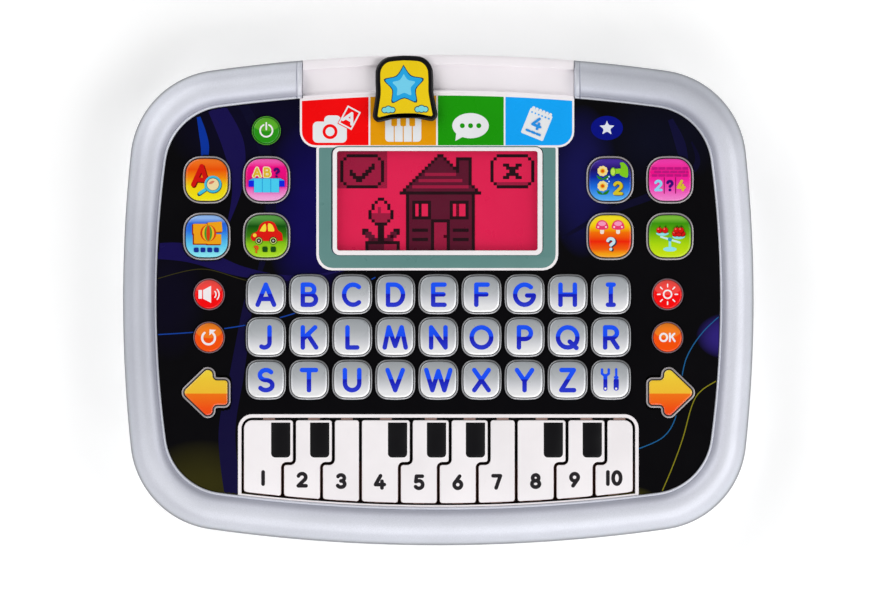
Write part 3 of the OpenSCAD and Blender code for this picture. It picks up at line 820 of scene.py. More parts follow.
def camera_tile(art, ground):
    art.box(-7.0, -6.6, 6.2, 1.6, 1.8, PALE)
    art.box(-2.6, -0.6, 4.0, 4.0, 1.9, PALE, step=SAME)
    art.disc(-0.3, -2.3, 2.9, ground)
    art.disc(-0.3, -2.3, 1.75, PALE)
    art.turned(7.2, 3.0, -28).box(-3.1, -4.1, 3.1, 4.1, 0.2, ground)
    card = art.turned(7.3, 3.1, -28)
    card.box(-2.9, -3.9, 2.9, 3.9, 0.2, PALE)
    card.box(-2.3, -3.3, 2.3, 3.3, 0.15, ground)
    card.sign("A", 1.85, 0, 0, 1.15, PALE, 1.3)


def piano_tile(art, ground):
    art.box(-7.0, -6.2, 7.0, 4.9, (1, 1, 1.4, 1.4), PALE)
    for x in (-3.5, 0, 3.5):
        art.box(x - 0.18, -6.4, x + 0.18, 4.9, 0.1, ground, 1)
        art.box(x - 1.1, -0.2, x + 1.1, 5.0, (0.1, 0.1, 0.5, 0.5), ground)


def speech_tile(art, ground):
    art.disc(-0.1, 0, 7.1, PALE, 40, 4.9)
    art.shape([(-5.5, -1.6), (-6.0, -5.9), (-1.5, -3.4)], PALE, SAME)
    for x in (-3.3, -0.1, 3.1):
        art.disc(x, 0, 0.95, ground, 20)


def calendar_tile(art, ground):
    page = art.turned(-0.7, 0.3, -22)
    page.box(-4.6, -5.0, 4.6, 5.4, 0.5, PALE)
    for k in range(6):
        page.disc(1.4 * k - 3.5, 5.7, 0.65, PALE, 12)
        page.disc(1.4 * k - 3.5, 4.0, 0.34, ground, 10)
    page.sign("4", 2.0, 0, 0.6, 1.0, (40, 150, 236), 1.1)
    for x in (-2.8, -0.7, 1.4):
        page.line([(x, -3.2), (x + 1.2, -3.2)], 0.9, (40, 150, 236))


def mode_tiles():
    piece = Piece("mode_tiles", (0, 70))
    z = PANEL_TOP
    backing = tile_outline(TILES_LEFT - 0.8, TILES_LEFT + 4 * TILE + 0.8, TILE_Y - 0.8, 6.2, 6.2, -0.35)
    piece.plate(backing, z, WHITE)
    for k, tone in enumerate(TILE_TONES):
        x0 = TILES_LEFT + k * TILE + (0 if k == 0 else 0.35)
        x1 = TILES_LEFT + (k + 1) * TILE - (0 if k == 3 else 0.35)
        radii = (5.4 if k == 0 else 0, 5.4 if k == 3 else 0)
        piece.plate(tile_outline(x0, x1, TILE_Y, *radii, 0.75), z, tone)
    flat = piece.rise
    middles = (11.2, 1.5 * TILE, 2.5 * TILE, 3.5 * TILE)
    for x, tone, draw in zip(middles, TILE_TONES, (camera_tile, piano_tile, speech_tile, calendar_tile)):
        piece.rise = flat
        draw(Art(piece, z, TILES_LEFT + x, 67.6), tone)
    piece.build("tablet")


CELL_SIZE = 0.45


def swoosh(piece, panel, points, widths, paint):
    """A tapering band along a smooth curve, kept off the panel's openings."""
    path = smooth_path(points, 10)
    wide = [w[0] for w in smooth_path([(w, 0) for w in widths], 10)]
    rows = []
    for i in range(len(path) - 1):
        here, ahead = Vector(path[i]), Vector(path[i + 1])
        steps = max(1, round((ahead - here).length / CELL_SIZE))
        for k in range(steps):
            width = wide[i] + (wide[i + 1] - wide[i]) * k / steps
            rows.append((here + (ahead - here) * (k / steps), width))
    count = max(1, round(max(wide) / CELL_SIZE))
    piece.rise += 0.004
    level = PANEL_TOP + 0.006 + piece.rise
    grid = []
    on_panel = []
    for i, (at, w) in enumerate(rows):
        along = (rows[min(i + 1, len(rows) - 1)][0] - rows[max(i - 1, 0)][0]).normalized()
        for k in range(count + 1):
            q = at + Vector((-along.y, along.x)) * w * (0.5 - k / count)
            grid.append((q.x, q.y, level))
            hit = panel.ray_cast(Vector((q.x, q.y, level + 5)) * MM, Vector((0, 0, -1)), 0.007)[0]
            on_panel.append(hit is not None and hit.z / MM > PANEL_TOP - 0.5)
    faces = []
    for i in range(len(rows) - 1):
        for k in range(count):
            a = i * (count + 1) + k
            corners = [a + 1, a + count + 2, a + count + 1, a]
            if all(on_panel[q] for q in corners):
                faces.append(corners)
    piece.mesh(grid, faces, paint)


VIOLET = (22, 14, 76)
NAVY = (10, 8, 40)
STREAKS = [
    ([(-93, 71), (-91.5, 65), (-90.5, 59), (-91, 52)], [1.4, 2.8, 3.2, 2.2], (6, 52, 160)),
    ([(-86, 74.5), (-79.5, 60), (-78, 44), (-82, 28)], [7, 8.5, 4, 0.3], VIOLET),
    ([(-76, 76.5), (-68, 60), (-65, 44), (-66, 24), (-72, 2)], [3.5, 4.5, 4, 3.5, 0.4], NAVY),
    ([(-110, 19), (-96, 18), (-76, 11), (-56, 8.5), (-34, 12)], [6, 7, 4, 2, 0.2], VIOLET),
    ([(-72, 10), (-74.5, -6), (-78, -28), (-82, -52), (-79, -80)], [2, 4, 5.5, 6.5, 6.5], (17, 12, 56)),
    ([(-110, -13.5), (-90, -12), (-66, -8), (-44, -1), (-24, 9)], [0.45] * 5, (20, 66, 160)),
    ([(-110, 8), (-92, 12), (-76, 8), (-60, 4)], [0.3] * 4, (58, 54, 22)),
    ([(110.5, -5), (103, -12), (97.3, -20.2), (94.8, -28), (92.5, -44), (87.4, -53), (77, -58)], [0.4] * 7,
     (30, 96, 150)),
    ([(109.5, -30.5), (102.2, -35), (98.5, -40.6), (94.8, -53.7), (90.7, -65), (86, -76)], [0.4] * 6,
     (136, 130, 30)),
    ([(48, 24), (66, 34), (86, 42), (100, 52), (98, 62)], [1, 2.4, 3, 2.4, 0.4], NAVY),
    ([(90, 70), (94, 60), (96, 48), (95, 40)], [2, 4, 2, 0.2], (14, 12, 52))]


def face_streaks():
    piece = Piece("streaks")
    panel = BVHTree.FromObject(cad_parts["face_panel"], bpy.context.evaluated_depsgraph_get())
    for points, widths, tone in STREAKS:
        swoosh(piece, panel, points, widths, tone)
    piece.build("tablet")


def badge():
    """A plain blue oval with a star, in the upper right of the face."""
    piece = Piece("badge", (65.4, 66.7))
    art = Art(piece, PANEL_TOP, *piece.middle)
    art.disc(0, 0, 6.2, (6, 16, 132), 40, 4.7)
    art.shape(star(0, 0, 2.9, 0.5), (232, 236, 246))
    piece.build("tablet")


SCREEN = centre("screen_lens")


def screen_surround():
    piece = Piece("screen_surround", SCREEN)
    x, y = SCREEN
    half = high("screen_lens").x - x
    hole = rounded(x - half - 0.2, y - 21.2, x + half + 0.2, y + 21.2, 3.0)
    rim = rounded(x - 46.9, 11.5, x + 46.9, 59.2, (0.6, 0.6, 6.0, 6.0))
    field = rounded(x - 45.9, 12.4, x + 45.9, 59.1, (0.6, 0.6, 5.3, 5.3))
    outer = rounded(x - 40.6, y - 21.1, x + 40.8, y + 20.8, 2.6)
    window = rounded(x - 38.9, y - 19.3, x + 38.9, y + 19.3, 1)
    piece.slab([rim, hole], PANEL_TOP, PANEL_TOP + 0.06, 0.01, WHITE, 1)
    piece.slab([field, hole], PANEL_TOP, PANEL_TOP + 0.1, 0.01, TEAL, 1)
    piece.slab([outer, window], PANEL_TOP - 0.1, PANEL_TOP + 0.42, 0.18, WHITE, 3)
    piece.build("tablet")


class DotScreen:
    """A dot-matrix picture of 64 by 32 dots, counted from the upper left."""

    def __init__(self, piece, x, y, z):
        self.piece = piece
        self.left = x - 38.85
        self.base = y - 19.25
        self.wide = 77.7
        self.tall = 38.5
        self.z = z

    def block(self, paint, x0, y0, x1, y1):
        """Dots x0 to x1 and y0 to y1."""
        xs = [self.left + x * (self.wide / 64) for x in (x0, x1 + 1)]
        ys = [self.base + self.tall - y * (self.tall / 32) for y in (y0, y1 + 1)]
        corners = [(xs[0], ys[0]), (xs[0], ys[1]), (xs[1], ys[1]), (xs[1], ys[0])]
        self.piece.plate(corners, self.z, paint, step=0.0004)

    def layer(self, paint, *blocks):
        """Blocks over everything drawn before them."""
        self.piece.rise += 0.02
        self.more(paint, *blocks)

    def more(self, paint, *blocks):
        for corners in blocks:
            self.block(paint, *corners)

    def framed(self, x0, y0, x1, y1, fill):
        """A filled box with a dark line and cut corners."""
        self.layer(fill, (x0 + 1, y0 + 1, x1 - 1, y1 - 1))
        self.layer(LCD_DARK, (x0 + 2, y0, x1 - 2, y0), (x0 + 2, y1, x1 - 2, y1),
                   (x0, y0 + 2, x0, y1 - 2), (x1, y0 + 2, x1, y1 - 2))
        self.more(LCD_DARK, *[(a, b, a, b) for b in (y0 + 1, y1 - 1) for a in (x0 + 1, x1 - 1)])


def answer_boxes(dots):
    """A ticked box and a crossed box."""
    dots.block(ROSE, 0, 0, 15, 11)
    dots.framed(1, 1, 14, 11, ROSE)
    for x, y in ((4, 7), (5, 8), (6, 9), (7, 9), (8, 8), (9, 7), (10, 6), (11, 5)):
        dots.more(LCD_DARK, (x, y, x, y), (x, y - 1, x, y - 1))
    dots.framed(49, 1, 62, 11, CRIMSON)
    dots.block(ROSE, 51, 10, 60, 10)
    for k in range(5):
        dots.more(LCD_DARK, (53 + k, 4 + k, 54 + k, 4 + k), (57 - k, 4 + k, 58 - k, 4 + k))


def tulip(dots):
    """A tulip in a pot; its head is drawn in rows."""
    line = [(13, 14), (12, 15), (11, 16), (11, 16), (10, 17), (10, 17), (10, 17), (11, 16), (12, 15)]
    petals = [(13, 14), (12, 15), (12, 15), (11, 16), (11, 16), (11, 16), (12, 15)]
    dots.layer(LCD_DARK, *[(a, 15 + row, b, 15 + row) for row, (a, b) in enumerate(line)])
    dots.layer(CRIMSON, *[(a, 16 + row, b, 16 + row) for row, (a, b) in enumerate(petals[:4])])
    dots.more(ROSE, *[(a, 20 + row, b, 20 + row) for row, (a, b) in enumerate(petals[4:])])
    dots.block(ROSE, 13, 18, 13, 21)
    dots.block(LCD_DARK, 13, 24, 14, 29)
    for left, right in ((-1, 0), (0, 1)):
        for k in range(4):
            at = 13 + (left + right) * (5 - k) + right
            dots.block(MAROON if k else LCD_DARK, at - right, 25 + k, at - left, 26 + k)
    dots.more(LCD_DARK, (9, 29, 19, 29), (9, 30, 9, 31), (19, 30, 19, 31))
    dots.block(MAROON, 10, 30, 14, 31)
    dots.block(ROSE, 15, 30, 18, 31)


def cottage(dots):
    """A cottage: chimney, roof, wall, windows and door."""
    dots.layer(LCD_DARK, (38, 2, 42, 12), *[(32 - k, 1 + k, 33 + k, 1 + k) for k in range(13)])
    dots.layer(MAROON, (39, 3, 41, 10))
    dots.layer(MAROON, *[(32 - k, 2 + k, 33 + k, 2 + k) for k in range(11)])
    dots.more(ROSE, *[(24 + 2 * k, 11 - 2 * k, 41 - 2 * k, 11 - 2 * k) for k in range(3)])
    dots.block(LCD_DARK, 22, 14, 43, 31)
    dots.layer(MAROON, (23, 14, 42, 31))
    for a in (24, 36):
        dots.layer(LCD_DARK, (a, 16, a + 5, 21))
        dots.layer(CRIMSON, (a + 1, 17, a + 4, 20))
        dots.block(LCD_DARK, a + 2, 17, a + 2, 20)
    dots.block(LCD_DARK, 30, 22, 35, 31)
    dots.layer(ROSE, (31, 23, 34, 31))
    dots.block(LCD_DARK, 34, 27, 34, 27)
    dots.layer(LCD_DARK, *[(a, b, a + 4, b) for a in (24, 37) for b in (25, 28)])


def lcd():
    """The display and its lens."""
    piece = Piece("lcd_picture", SCREEN)
    x, y = SCREEN
    z = PANEL_LOW - 0.8
    piece.slab([rounded(x - 40.6, y - 20.4, x + 40.6, y + 20.4, 1)], z - 0.6, z, 0.05, LCD_DARK, 1)
    dots = DotScreen(piece, x, y, z)
    ground = rounded(dots.left, dots.base, dots.left + dots.wide, dots.base + dots.tall, 0.8)
    piece.plate(ground, z, CRIMSON)
    answer_boxes(dots)
    tulip(dots)
    cottage(dots)
    piece.build("tablet", ["lcd_module"], 80)
    lens = Piece("lens", SCREEN)
    pane = rounded(x - 40.7, y - 20.8, x + 40.7, y + 20.8, 2.8)
    lens.slab([pane], low("screen_lens").z, high("screen_lens").z, 0.1, LENS, 1)
    lens.build("tablet", ["screen_lens"])


# --- letters and numbers


def bow(cx, cy, rx, ry, start, end):
    return arc((cx, cy), rx, ry, start, end, max(4, int(abs(end - start) / 15)))


GLYPHS = {
    "A": [[(-0.8, -1), (0, 1), (0.8, -1)], [(-0.55, -0.42), (0.55, -0.42)]],
    "B": [[(-0.6, -1), (-0.6, 1), (0, 1)] + bow(0.02, 0.52, 0.5, 0.48, 90, -90) + [(-0.6, 0.04)],
          [(0.02, 0.04)] + bow(0.12, -0.48, 0.56, 0.52, 90, -90) + [(-0.6, -1)]],
    "C": [bow(0.1, 0, 0.88, 1, 50, 310)],
    "D": [[(-0.7, -1), (-0.7, 1), (-0.1, 1)] + bow(-0.08, 0, 0.84, 1, 90, -90) + [(-0.7, -1)]],
    "E": [[(0.6, 1), (-0.5, 1), (-0.5, -1), (0.6, -1)], [(-0.5, 0.03), (0.5, 0.03)]],
    "F": [[(0.6, 1), (-0.5, 1), (-0.5, -1)], [(-0.5, 0.03), (0.48, 0.03)]],
    "G": [bow(0.0, 0, 0.92, 1, 48, 345) + [(0.9, -0.08), (0.25, -0.08)]],
    "H": [[(-0.7, 1), (-0.7, -1)], [(0.7, 1), (0.7, -1)], [(-0.7, 0), (0.7, 0)]],
    "I": [[(0, 1), (0, -1)], [(-0.28, 1), (0.28, 1)], [(-0.28, -1), (0.28, -1)]],
    "J": [[(0.36, 1), (0.36, -0.5)] + bow(-0.14, -0.5, 0.5, 0.5, 0, -125)],
    "K": [[(-0.6, 1), (-0.6, -1)], [(0.6, 1), (-0.5, -0.08)], [(-0.12, 0.28), (0.7, -1)]],
    "L": [[(-0.45, 1), (-0.45, -1), (0.5, -1)]],
    "M": [[(-0.95, -1), (-0.58, 1), (0, -0.85), (0.58, 1), (0.95, -1)]],
    "N": [[(-0.7, -1), (-0.7, 1), (0.7, -1), (0.7, 1)]],
    "O": [bow(0, 0, 0.95, 1, 90, 450)],
    "P": [[(-0.55, -1), (-0.55, 1), (0, 1)] + bow(0.02, 0.42, 0.6, 0.58, 90, -90) + [(-0.55, -0.16)]],
    "Q": [bow(0, 0, 0.95, 1, 90, 450), [(0.2, -0.42), (0.85, -1.05)]],
    "R": [[(-0.55, -1), (-0.55, 1), (0, 1)] + bow(0.02, 0.46, 0.58, 0.54, 90, -90) + [(-0.55, -0.08)],
          [(0.05, -0.08), (0.65, -1)]],
    "S": [bow(0.02, 0.5, 0.6, 0.5, 35, 270) + bow(0, -0.5, 0.64, 0.5, 90, -145)[1:]],
    "T": [[(-0.68, 1), (0.68, 1)], [(0, 1), (0, -1)]],
    "U": [[(-0.7, 1), (-0.7, -0.3)] + bow(0, -0.3, 0.7, 0.7, 180, 360) + [(0.7, 1)]],
    "V": [[(-0.74, 1), (0, -1), (0.74, 1)]],
    "W": [[(-1.08, 1), (-0.54, -1), (0, 0.9), (0.54, -1), (1.08, 1)]],
    "X": [[(-0.7, 1), (0.7, -1)], [(0.7, 1), (-0.7, -1)]],
    "Y": [[(-0.74, 1), (0, -0.1), (0.74, 1)], [(0, -0.1), (0, -1)]],
    "Z": [[(-0.6, 1), (0.6, 1), (-0.62, -1), (0.62, -1)]],
    "0": [bow(0, 0, 0.62, 1, 90, 450)],
    "1": [[(0, 1), (0, -1)]],
    "2": [bow(0, 0.42, 0.62, 0.58, 160, -35) + [(-0.62, -1), (0.66, -1)]],
    "3": [bow(0, 0.5, 0.56, 0.5, 150, -90), bow(0, -0.5, 0.62, 0.52, 90, -150)],
    "4": [[(0.1, 1), (-0.72, -0.45), (0.72, -0.45)], [(0.34, 0.1), (0.34, -1)]],
    "5": [[(0.56, 1), (-0.4, 1), (-0.5, 0.1)] + bow(0, -0.38, 0.64, 0.62, 120, -145)],
    "6": [[(0.3, 1), (-0.42, 0.02)], bow(0, -0.4, 0.6, 0.6, 90, 450)],
    "7": [[(-0.6, 1), (0.6, 1), (-0.1, -1)]],
    "8": [bow(0, 0.52, 0.5, 0.48, 90, 450), bow(0, -0.48, 0.62, 0.54, 90, 450)],
    "9": [bow(0, 0.4, 0.6, 0.6, 90, 450), [(0.44, 0.0), (-0.26, -1)]],
    "?": [bow(0, 0.45, 0.52, 0.5, 165, -60) + [(0, -0.25)], [(0, -0.98), (0, -1)]],
}


# --- keys and buttons

CAP_LOW = PANEL_LOW - 0.9
LETTER_SHAPE = (7.8, 7.8, 45, 45, 4.6)
LETTER_FLANGE = (8.1, 8.1, 100, 100, 1.6)
PICTURE_SHAPE = (9.2, 9.2, 60, 60, 6.6)
PICTURE_FLANGE = (9.5, 9.5, 100, 100, 1.6)
# Steps of a cap: inset from its outline and depth below its top.
LETTER_STEPS = [(0, 0.75), (0.1, 0.5), (0.3, 0.38), (0.52, 0.42), (0.6, 0.6), (0.74, 0.6), (0.84, 0.36),
                (1.15, 0.17), (1.8, 0.07), (2.8, 0.03), (4.5, 0)]
PILLOW_STEPS = [(0, 0.8), (0.1, 0.5), (0.28, 0.38), (0.5, 0.38), (0.62, 0.5), (0.68, 0.62), (0.98, 0.62),
                (1.06, 0.4), (1.3, 0.22), (1.8, 0.1), (2.7, 0.04), (4.6, 0.02)]
ARROW_STEPS = [(0, 0.6), (0.1, 0.34), (0.35, 0.22), (0.66, 0.22), (0.78, 0.34), (1.12, 0.34), (1.2, 0.2),
               (1.5, 0.06), (2.0, 0)]


def cap(piece, steps, top, paints, shape):
    """A cap whose outline, moved in by an inset, is shape(inset)."""
    levels = [(0, CAP_LOW)] + [(inset_by, top - drop) for inset_by, drop in steps]
    piece.loft([[(x, y, z) for x, y in shape(inset_by)] for inset_by, z in levels], paints)


def flange(piece, loop):
    """The edge under the panel that holds a key in."""
    piece.slab([loop], PANEL_LOW - 1.0, PANEL_LOW - 0.2, 0.1, RIM, 1)


def tool_icon(art):
    """Spanner and screwdriver side by side."""
    art.line([(-2.1, 1.4), (-2.1, -3.6)], 1.6, INK)
    for side in (-1.3, 1.3):
        art.line([(-2.1, 1.3), (side - 2.1, 2.3), (side - 2.1, 3.9)], 1.0, INK)
    art.line([(2.1, 4.0), (2.1, 1.0)], 0.9, INK)
    art.line([(1.6, 0.9), (2.6, 0.9)], 0.9, INK)
    art.line([(2.1, -0.4), (2.1, -3.3)], 2.0, INK)
    for x in (-2.1, 2.1):
        art.disc(x, -3.5, 0.42, WHITE, 16)


def letter_key(node, sign):
    """A silver key with a letter, or with the tool icon when sign is None."""
    x, y = centre(node)
    piece = Piece(node + "_cap", (x, y))
    top = KEY_TOP - 0.1
    # The dark strips are painted shade: at the cap's foot and in the groove between rim and cap.
    paints = [SHADOW_LINE, RIM, RIM, RIM, GREY_SHADE_LINE, SHADOW_LINE, GREY_SHADE_LINE, CAP]
    cap(piece, LETTER_STEPS, top, paints, lambda d: moved(small(inset(LETTER_SHAPE, d)), x, y))
    art = Art(piece, top, x, y)
    if sign:
        art.sign(sign, 3.9, 0, -0.2, 1.75, INK, 1.1 if sign in "MW" else 1.02, thick=0.14)
    else:
        tool_icon(art)
    flange(piece, moved(small(LETTER_FLANGE), x, y))
    piece.build(node, [node])


def letter_and_glass(art):
    art.sign("A", 3.7, -1.85, 1.25, 1.9, (120, 6, 10), 0.95, -4)
    art.sign("A", 3.7, -2.2, 1.6, 1.7, (216, 18, 14), 0.95, -4)
    art.line([(0.2, -3.4), (-2.9, -5.6)], 1.5, (14, 60, 92))
    art.line([(0.3, -3.2), (-2.7, -5.2)], 1.2, (70, 200, 232))
    for x, y, r, tone in ((2.5, -1.9, 3.4, (16, 64, 100)), (2.4, -1.7, 3.3, (72, 196, 230)),
                          (2.4, -1.7, 2.5, (30, 60, 90)), (2.4, -1.75, 2.3, (246, 226, 170))):
        art.disc(x, y, r, tone)
    art.turned(1.9, -1.0, 25).disc(0, 0, 1.2, (226, 130, 100), 20, 0.5)


def letters_and_blocks(art):
    for width, tone in ((1.5, (250, 240, 190)), (0.7, (232, 190, 40))):
        art.sign("A", 1.5, -3.7, 2.9, width, tone)
        art.sign("B", 1.5, 0.2, 2.9, width, tone)
    art.sign("?", 1.5, 3.9, 2.8, 0.9, (70, 8, 110))
    art.box(-7.0, -2.7, 7.0, -0.2, 0.2, (14, 40, 232))
    art.shape([(-5.4, 0.6), (5.4, 0.6), (7.0, -0.3), (-7.0, -0.3)], (60, 170, 236))
    for x in (-3.3, 0, 3.3):
        art.box(x - 1.55, -4.9, x + 1.55, 0.4, 0.15, (76, 214, 250))
    for x in (-1.65, 1.65):
        art.line([(x, -4.6), (x, 0.2)], 0.22, (24, 150, 220))


def ball_puzzle(art):
    tiles = [(-2.5, 2.9, 0), (-2.2, -0.9, 0), (2.9, -1.1, 0), (3.2, 3.6, 4)]
    for x, y, turn in tiles:
        art.turned(x - 0.35, y - 0.3, turn).box(-2.9, -2.1, 2.9, 2.1, 0.3, (150, 44, 10))
    for x, y, turn in tiles:
        art.turned(x, y, turn).box(-2.75, -1.95, 2.75, 1.95, 0.3, (250, 170, 24))
    for rx, ry, tone in ((3.1, 3.2, (226, 62, 20)), (2.3, 3.1, (250, 196, 40)), (1.5, 3.05, (72, 160, 50)),
                         (0.7, 3.0, (226, 62, 20))):
        art.disc(0.6, 1.2, rx, tone, 28, ry)
    for x in (-5.0, -2.4, 0.2, 2.8):
        art.box(x, -6.2, x + 1.9, -4.4, 0.5, (20, 50, 150))


def small_car(art):
    body = [(-6.2, -0.6), (-5.6, 1.0), (-3.6, 2.0), (-2.4, 4.6), (0.2, 5.9), (3.0, 5.2), (4.4, 2.4),
            (5.9, 1.2), (6.2, -1.0), (5.4, -1.8), (-5.4, -1.8)]
    wheel = [(1.5, (30, 60, 12)), (1.25, (206, 226, 120)), (0.95, (40, 28, 24)), (0.4, (190, 190, 190))]
    art.shape(smooth_path(body, 4), (226, 26, 18))
    for window in ([(-2.7, 2.0), (-1.6, 4.0), (-0.4, 4.8), (-0.3, 2.0), (-2.7, 2.0)],
                   [(0.6, 2.0), (0.6, 4.9), (2.2, 4.4), (3.0, 2.0), (0.6, 2.0)]):
        art.shape(smooth_path(window, 3), (250, 226, 60))
    art.disc(-4.6, 0.4, 0.75, (250, 214, 60), 16)
    for x in (-3.0, 2.6):
        for r, tone in wheel:
            art.disc(x, -1.7, r, tone, 20)
    art.sign("?", 1.15, -4.0, -5.0, 0.75, (236, 80, 30))
    for x in (-1.6, 1.6):
        art.box(x, -6.1, x + 2.0, -4.0, 0.5, (26, 78, 20))


def flowers(art):
    leaves = [(-2.4, -1.6), (-0.6, -2.4), (0, -3.0), (0.8, -2.4), (2.6, -1.5), (1.6, -3.2), (-1.4, -3.2),
              (-2.4, -1.6)]
    for y in (3.4, -2.4):
        flower = art.turned(-2.9, y, 0)
        flower.shape(smooth_path(leaves, 3), (40, 128, 30))
        for k in range(9):
            a = math.radians(40 * k)
            flower.disc(1.35 * math.cos(a), 1.35 * math.sin(a), 0.72, (250, 226, 150), 12, step=SAME)
        flower.disc(0, 0, 1.0, (250, 190, 40), 16)
        flower.disc(0, 0, 0.6, (224, 84, 10), 16)
    can = [(3.7, 2.0), (5.0, 1.2), (6.8, 1.0), (7.0, 3.6), (6.6, 5.2), (5.2, 6.7), (3.8, 6.5), (4.2, 5.0),
           (3.7, 2.0)]
    art.shape([(1.4, 4.2), (1.4, 2.2), (4.4, 2.6), (4.4, 4.4)], (150, 214, 40))
    art.shape(smooth_path(can, 4), (130, 206, 30))
    art.disc(1.2, 3.1, 1.1, (120, 180, 30), 20, 1.7)
    art.disc(1.1, 3.1, 0.8, (196, 236, 90), 20, 1.35)
    for k in range(4):
        art.disc(-0.4 - 0.6 * (k % 2), 1.2 - 0.9 * k, 0.32, (210, 240, 255), 8)
    art.sign("2", 2.1, 3.25, -3.4, 1.3, (120, 96, 20))
    art.sign("2", 2.1, 3.0, -3.2, 1.15, (222, 200, 40))


def bricks(art):
    for row in range(3):
        for k in range(-2, 3):
            middle = 3.1 * k + (1.5 if row % 2 else 0)
            x0, x1 = max(middle - 1.4, -7.0), min(middle + 1.4, 7.0)
            if x1 - x0 > 0.5:
                art.box(x0, 1.2 + 1.35 * row, x1, 2.2 + 1.35 * row, 0.1, (196, 20, 130), 1, SAME)
    for x in (-2.2, 2.2):
        art.line([(x, 0.8), (x, -5.2)], 0.36, (150, 10, 90))
    sums = (("2", -4.5, (150, 220, 250)), ("?", 0, (60, 10, 120)), ("4", 4.4, (226, 200, 50)))
    for sign, x, tone in sums:
        art.sign(sign, 1.75, x, -2.2, 1.05, tone)


def mushrooms(art):
    for x in (-3.1, 3.1):
        art.box(x - 0.75, 0.9, x + 0.75, 3.4, 0.6, (250, 236, 220))
        hat = arc((x, 3.4), 2.5, 2.9, 0, 180, 12) + arc((x, 3.4), 2.5, 0.9, 180, 360, 8)
        art.shape(hat, (244, 60, 110))
        art.disc(x, 4.9, 1.5, (255, 160, 196), 16, 0.9)
        for side in (-1.5, 1.5):
            art.disc(x + side, 3.6, 0.4, (255, 214, 226), 10)
    art.sign("?", 2.1, 0.7, -3.15, 1.35, (20, 40, 70), 1.1)
    art.sign("?", 2.1, 0.3, -2.9, 1.2, (206, 236, 248), 1.1)


def scales(art):
    pale = (150, 232, 240)
    art.disc(0, -5.0, 2.6, pale, 24, 0.9)
    art.line([(0, -4.8), (0, -1.4)], 0.9, pale)
    art.line([(-3.4, -0.2), (3.8, -2.4)], 0.75, (206, 240, 240))
    art.disc(0, -1.2, 0.8, (60, 160, 190), 16)
    for pan in ((-2.9, 1.3), (3.4, 0.0)):
        art.shape(arc(pan, 2.5, 1.1, 180, 360, 10), pale)
    for x, y in ((-4.1, 2.3), (-1.8, 2.3), (2.0, 1.0), (4.9, 1.0), (3.5, 1.0), (2.6, 2.3), (4.3, 2.3)):
        art.disc(x, y, 1.2, (120, 8, 8), 18)
        art.disc(x - 0.08, y + 0.1, 1.08, (222, 20, 16), 18)
        art.disc(x - 0.4, y + 0.5, 0.3, (250, 130, 110), 10)
        art.line([(x, y + 1.0), (x + 0.3, y + 1.7)], 0.25, (60, 40, 10))


# Colours of the pictures' grounds, by height.
GROUNDS = {
    "orange": [(-7, (250, 236, 20)), (-2.5, (250, 216, 10)), (1, (252, 140, 6)), (4, (246, 84, 2)),
               (7, (252, 120, 30))],
    "pink": [(-7, (250, 170, 226)), (-3.6, (248, 100, 190)), (-2.6, (244, 40, 160)), (0, (240, 8, 120)),
             (5, (252, 10, 140)), (7, (250, 90, 180))],
    "blue": [(-7, (140, 236, 250)), (-3.5, (96, 210, 250)), (2, (40, 120, 236)), (5, (36, 104, 226)),
             (7, (150, 190, 246))],
    "green": [(-7, (176, 226, 40)), (-3, (140, 202, 20)), (0, (60, 130, 10)), (4, (14, 84, 10)),
              (7, (90, 160, 70))],
    "night": [(-7, (84, 176, 250)), (-3, (30, 116, 232)), (1, (10, 40, 168)), (4, (30, 12, 100)),
              (7, (70, 44, 160))],
    "rose": [(-7, (252, 130, 210)), (-4, (250, 84, 190)), (0, (252, 36, 164)), (3, (248, 8, 140)),
             (7, (250, 60, 176))],
    "sunset": [(-7, (252, 170, 20)), (-5, (250, 96, 8)), (-2, (248, 34, 2)), (1.5, (252, 116, 2)),
               (4, (254, 214, 4)), (7, (254, 232, 40))],
    "lime": [(-7, (206, 234, 20)), (-3, (176, 222, 10)), (2, (96, 176, 6)), (5, (60, 152, 8)),
             (7, (128, 196, 60))]}
# Column, row, ground and drawing of each picture button.
PICTURES = {
    "picture_buttons_left": [(0, 1, "orange", letter_and_glass), (1, 1, "pink", letters_and_blocks),
                             (0, 0, "blue", ball_puzzle), (1, 0, "green", small_car)],
    "picture_buttons_right": [(0, 1, "night", flowers), (1, 1, "rose", bricks),
                              (0, 0, "sunset", mushrooms), (1, 0, "lime", scales)]}
PILLOW_TOP = KEY_TOP - 0.02


# A pillowed cap's paints: painted shade at its foot, the rim, a line of painted shade in the groove, then
# the face.
def pillow_paints(rim, line, paint):
    return [SHADOW_LINE] + [rim] * 4 + [line] * 3 + [paint]


def picture_buttons(node):
    lo, hi = low(node), high(node)
    half = PICTURE_FLANGE[0]
    xs = (lo.x + half, hi.x - half)
    ys = (lo.y + half, hi.y - half)
    for column, row, name, draw in PICTURES[node]:
        x, y = xs[column], ys[row]
        piece = Piece("%s_%d%d" % (node, column, row), (x, y))
        ground = gradient("ground_" + name, GROUNDS[name], 0.2, coat=0.15, specular=0.25)
        paints = pillow_paints(RIM_PALE, SHADOW_LINE, ground)
        cap(piece, PILLOW_STEPS, PILLOW_TOP, paints, lambda d: moved(small(inset(PICTURE_SHAPE, d)), x, y))
        draw(Art(piece, PILLOW_TOP - 0.02, x, y))
        flange(piece, moved(small(PICTURE_FLANGE), x, y))
        piece.build(node, [node] if (column, row) == (0, 1) else [])


def power_icon(art):
    art.line(arc((0, 0), 2.4, 2.4, 115, 425, 24), 0.62, WHITE)
    art.line([(0, 0.4), (0, 3.0)], 0.6, WHITE)


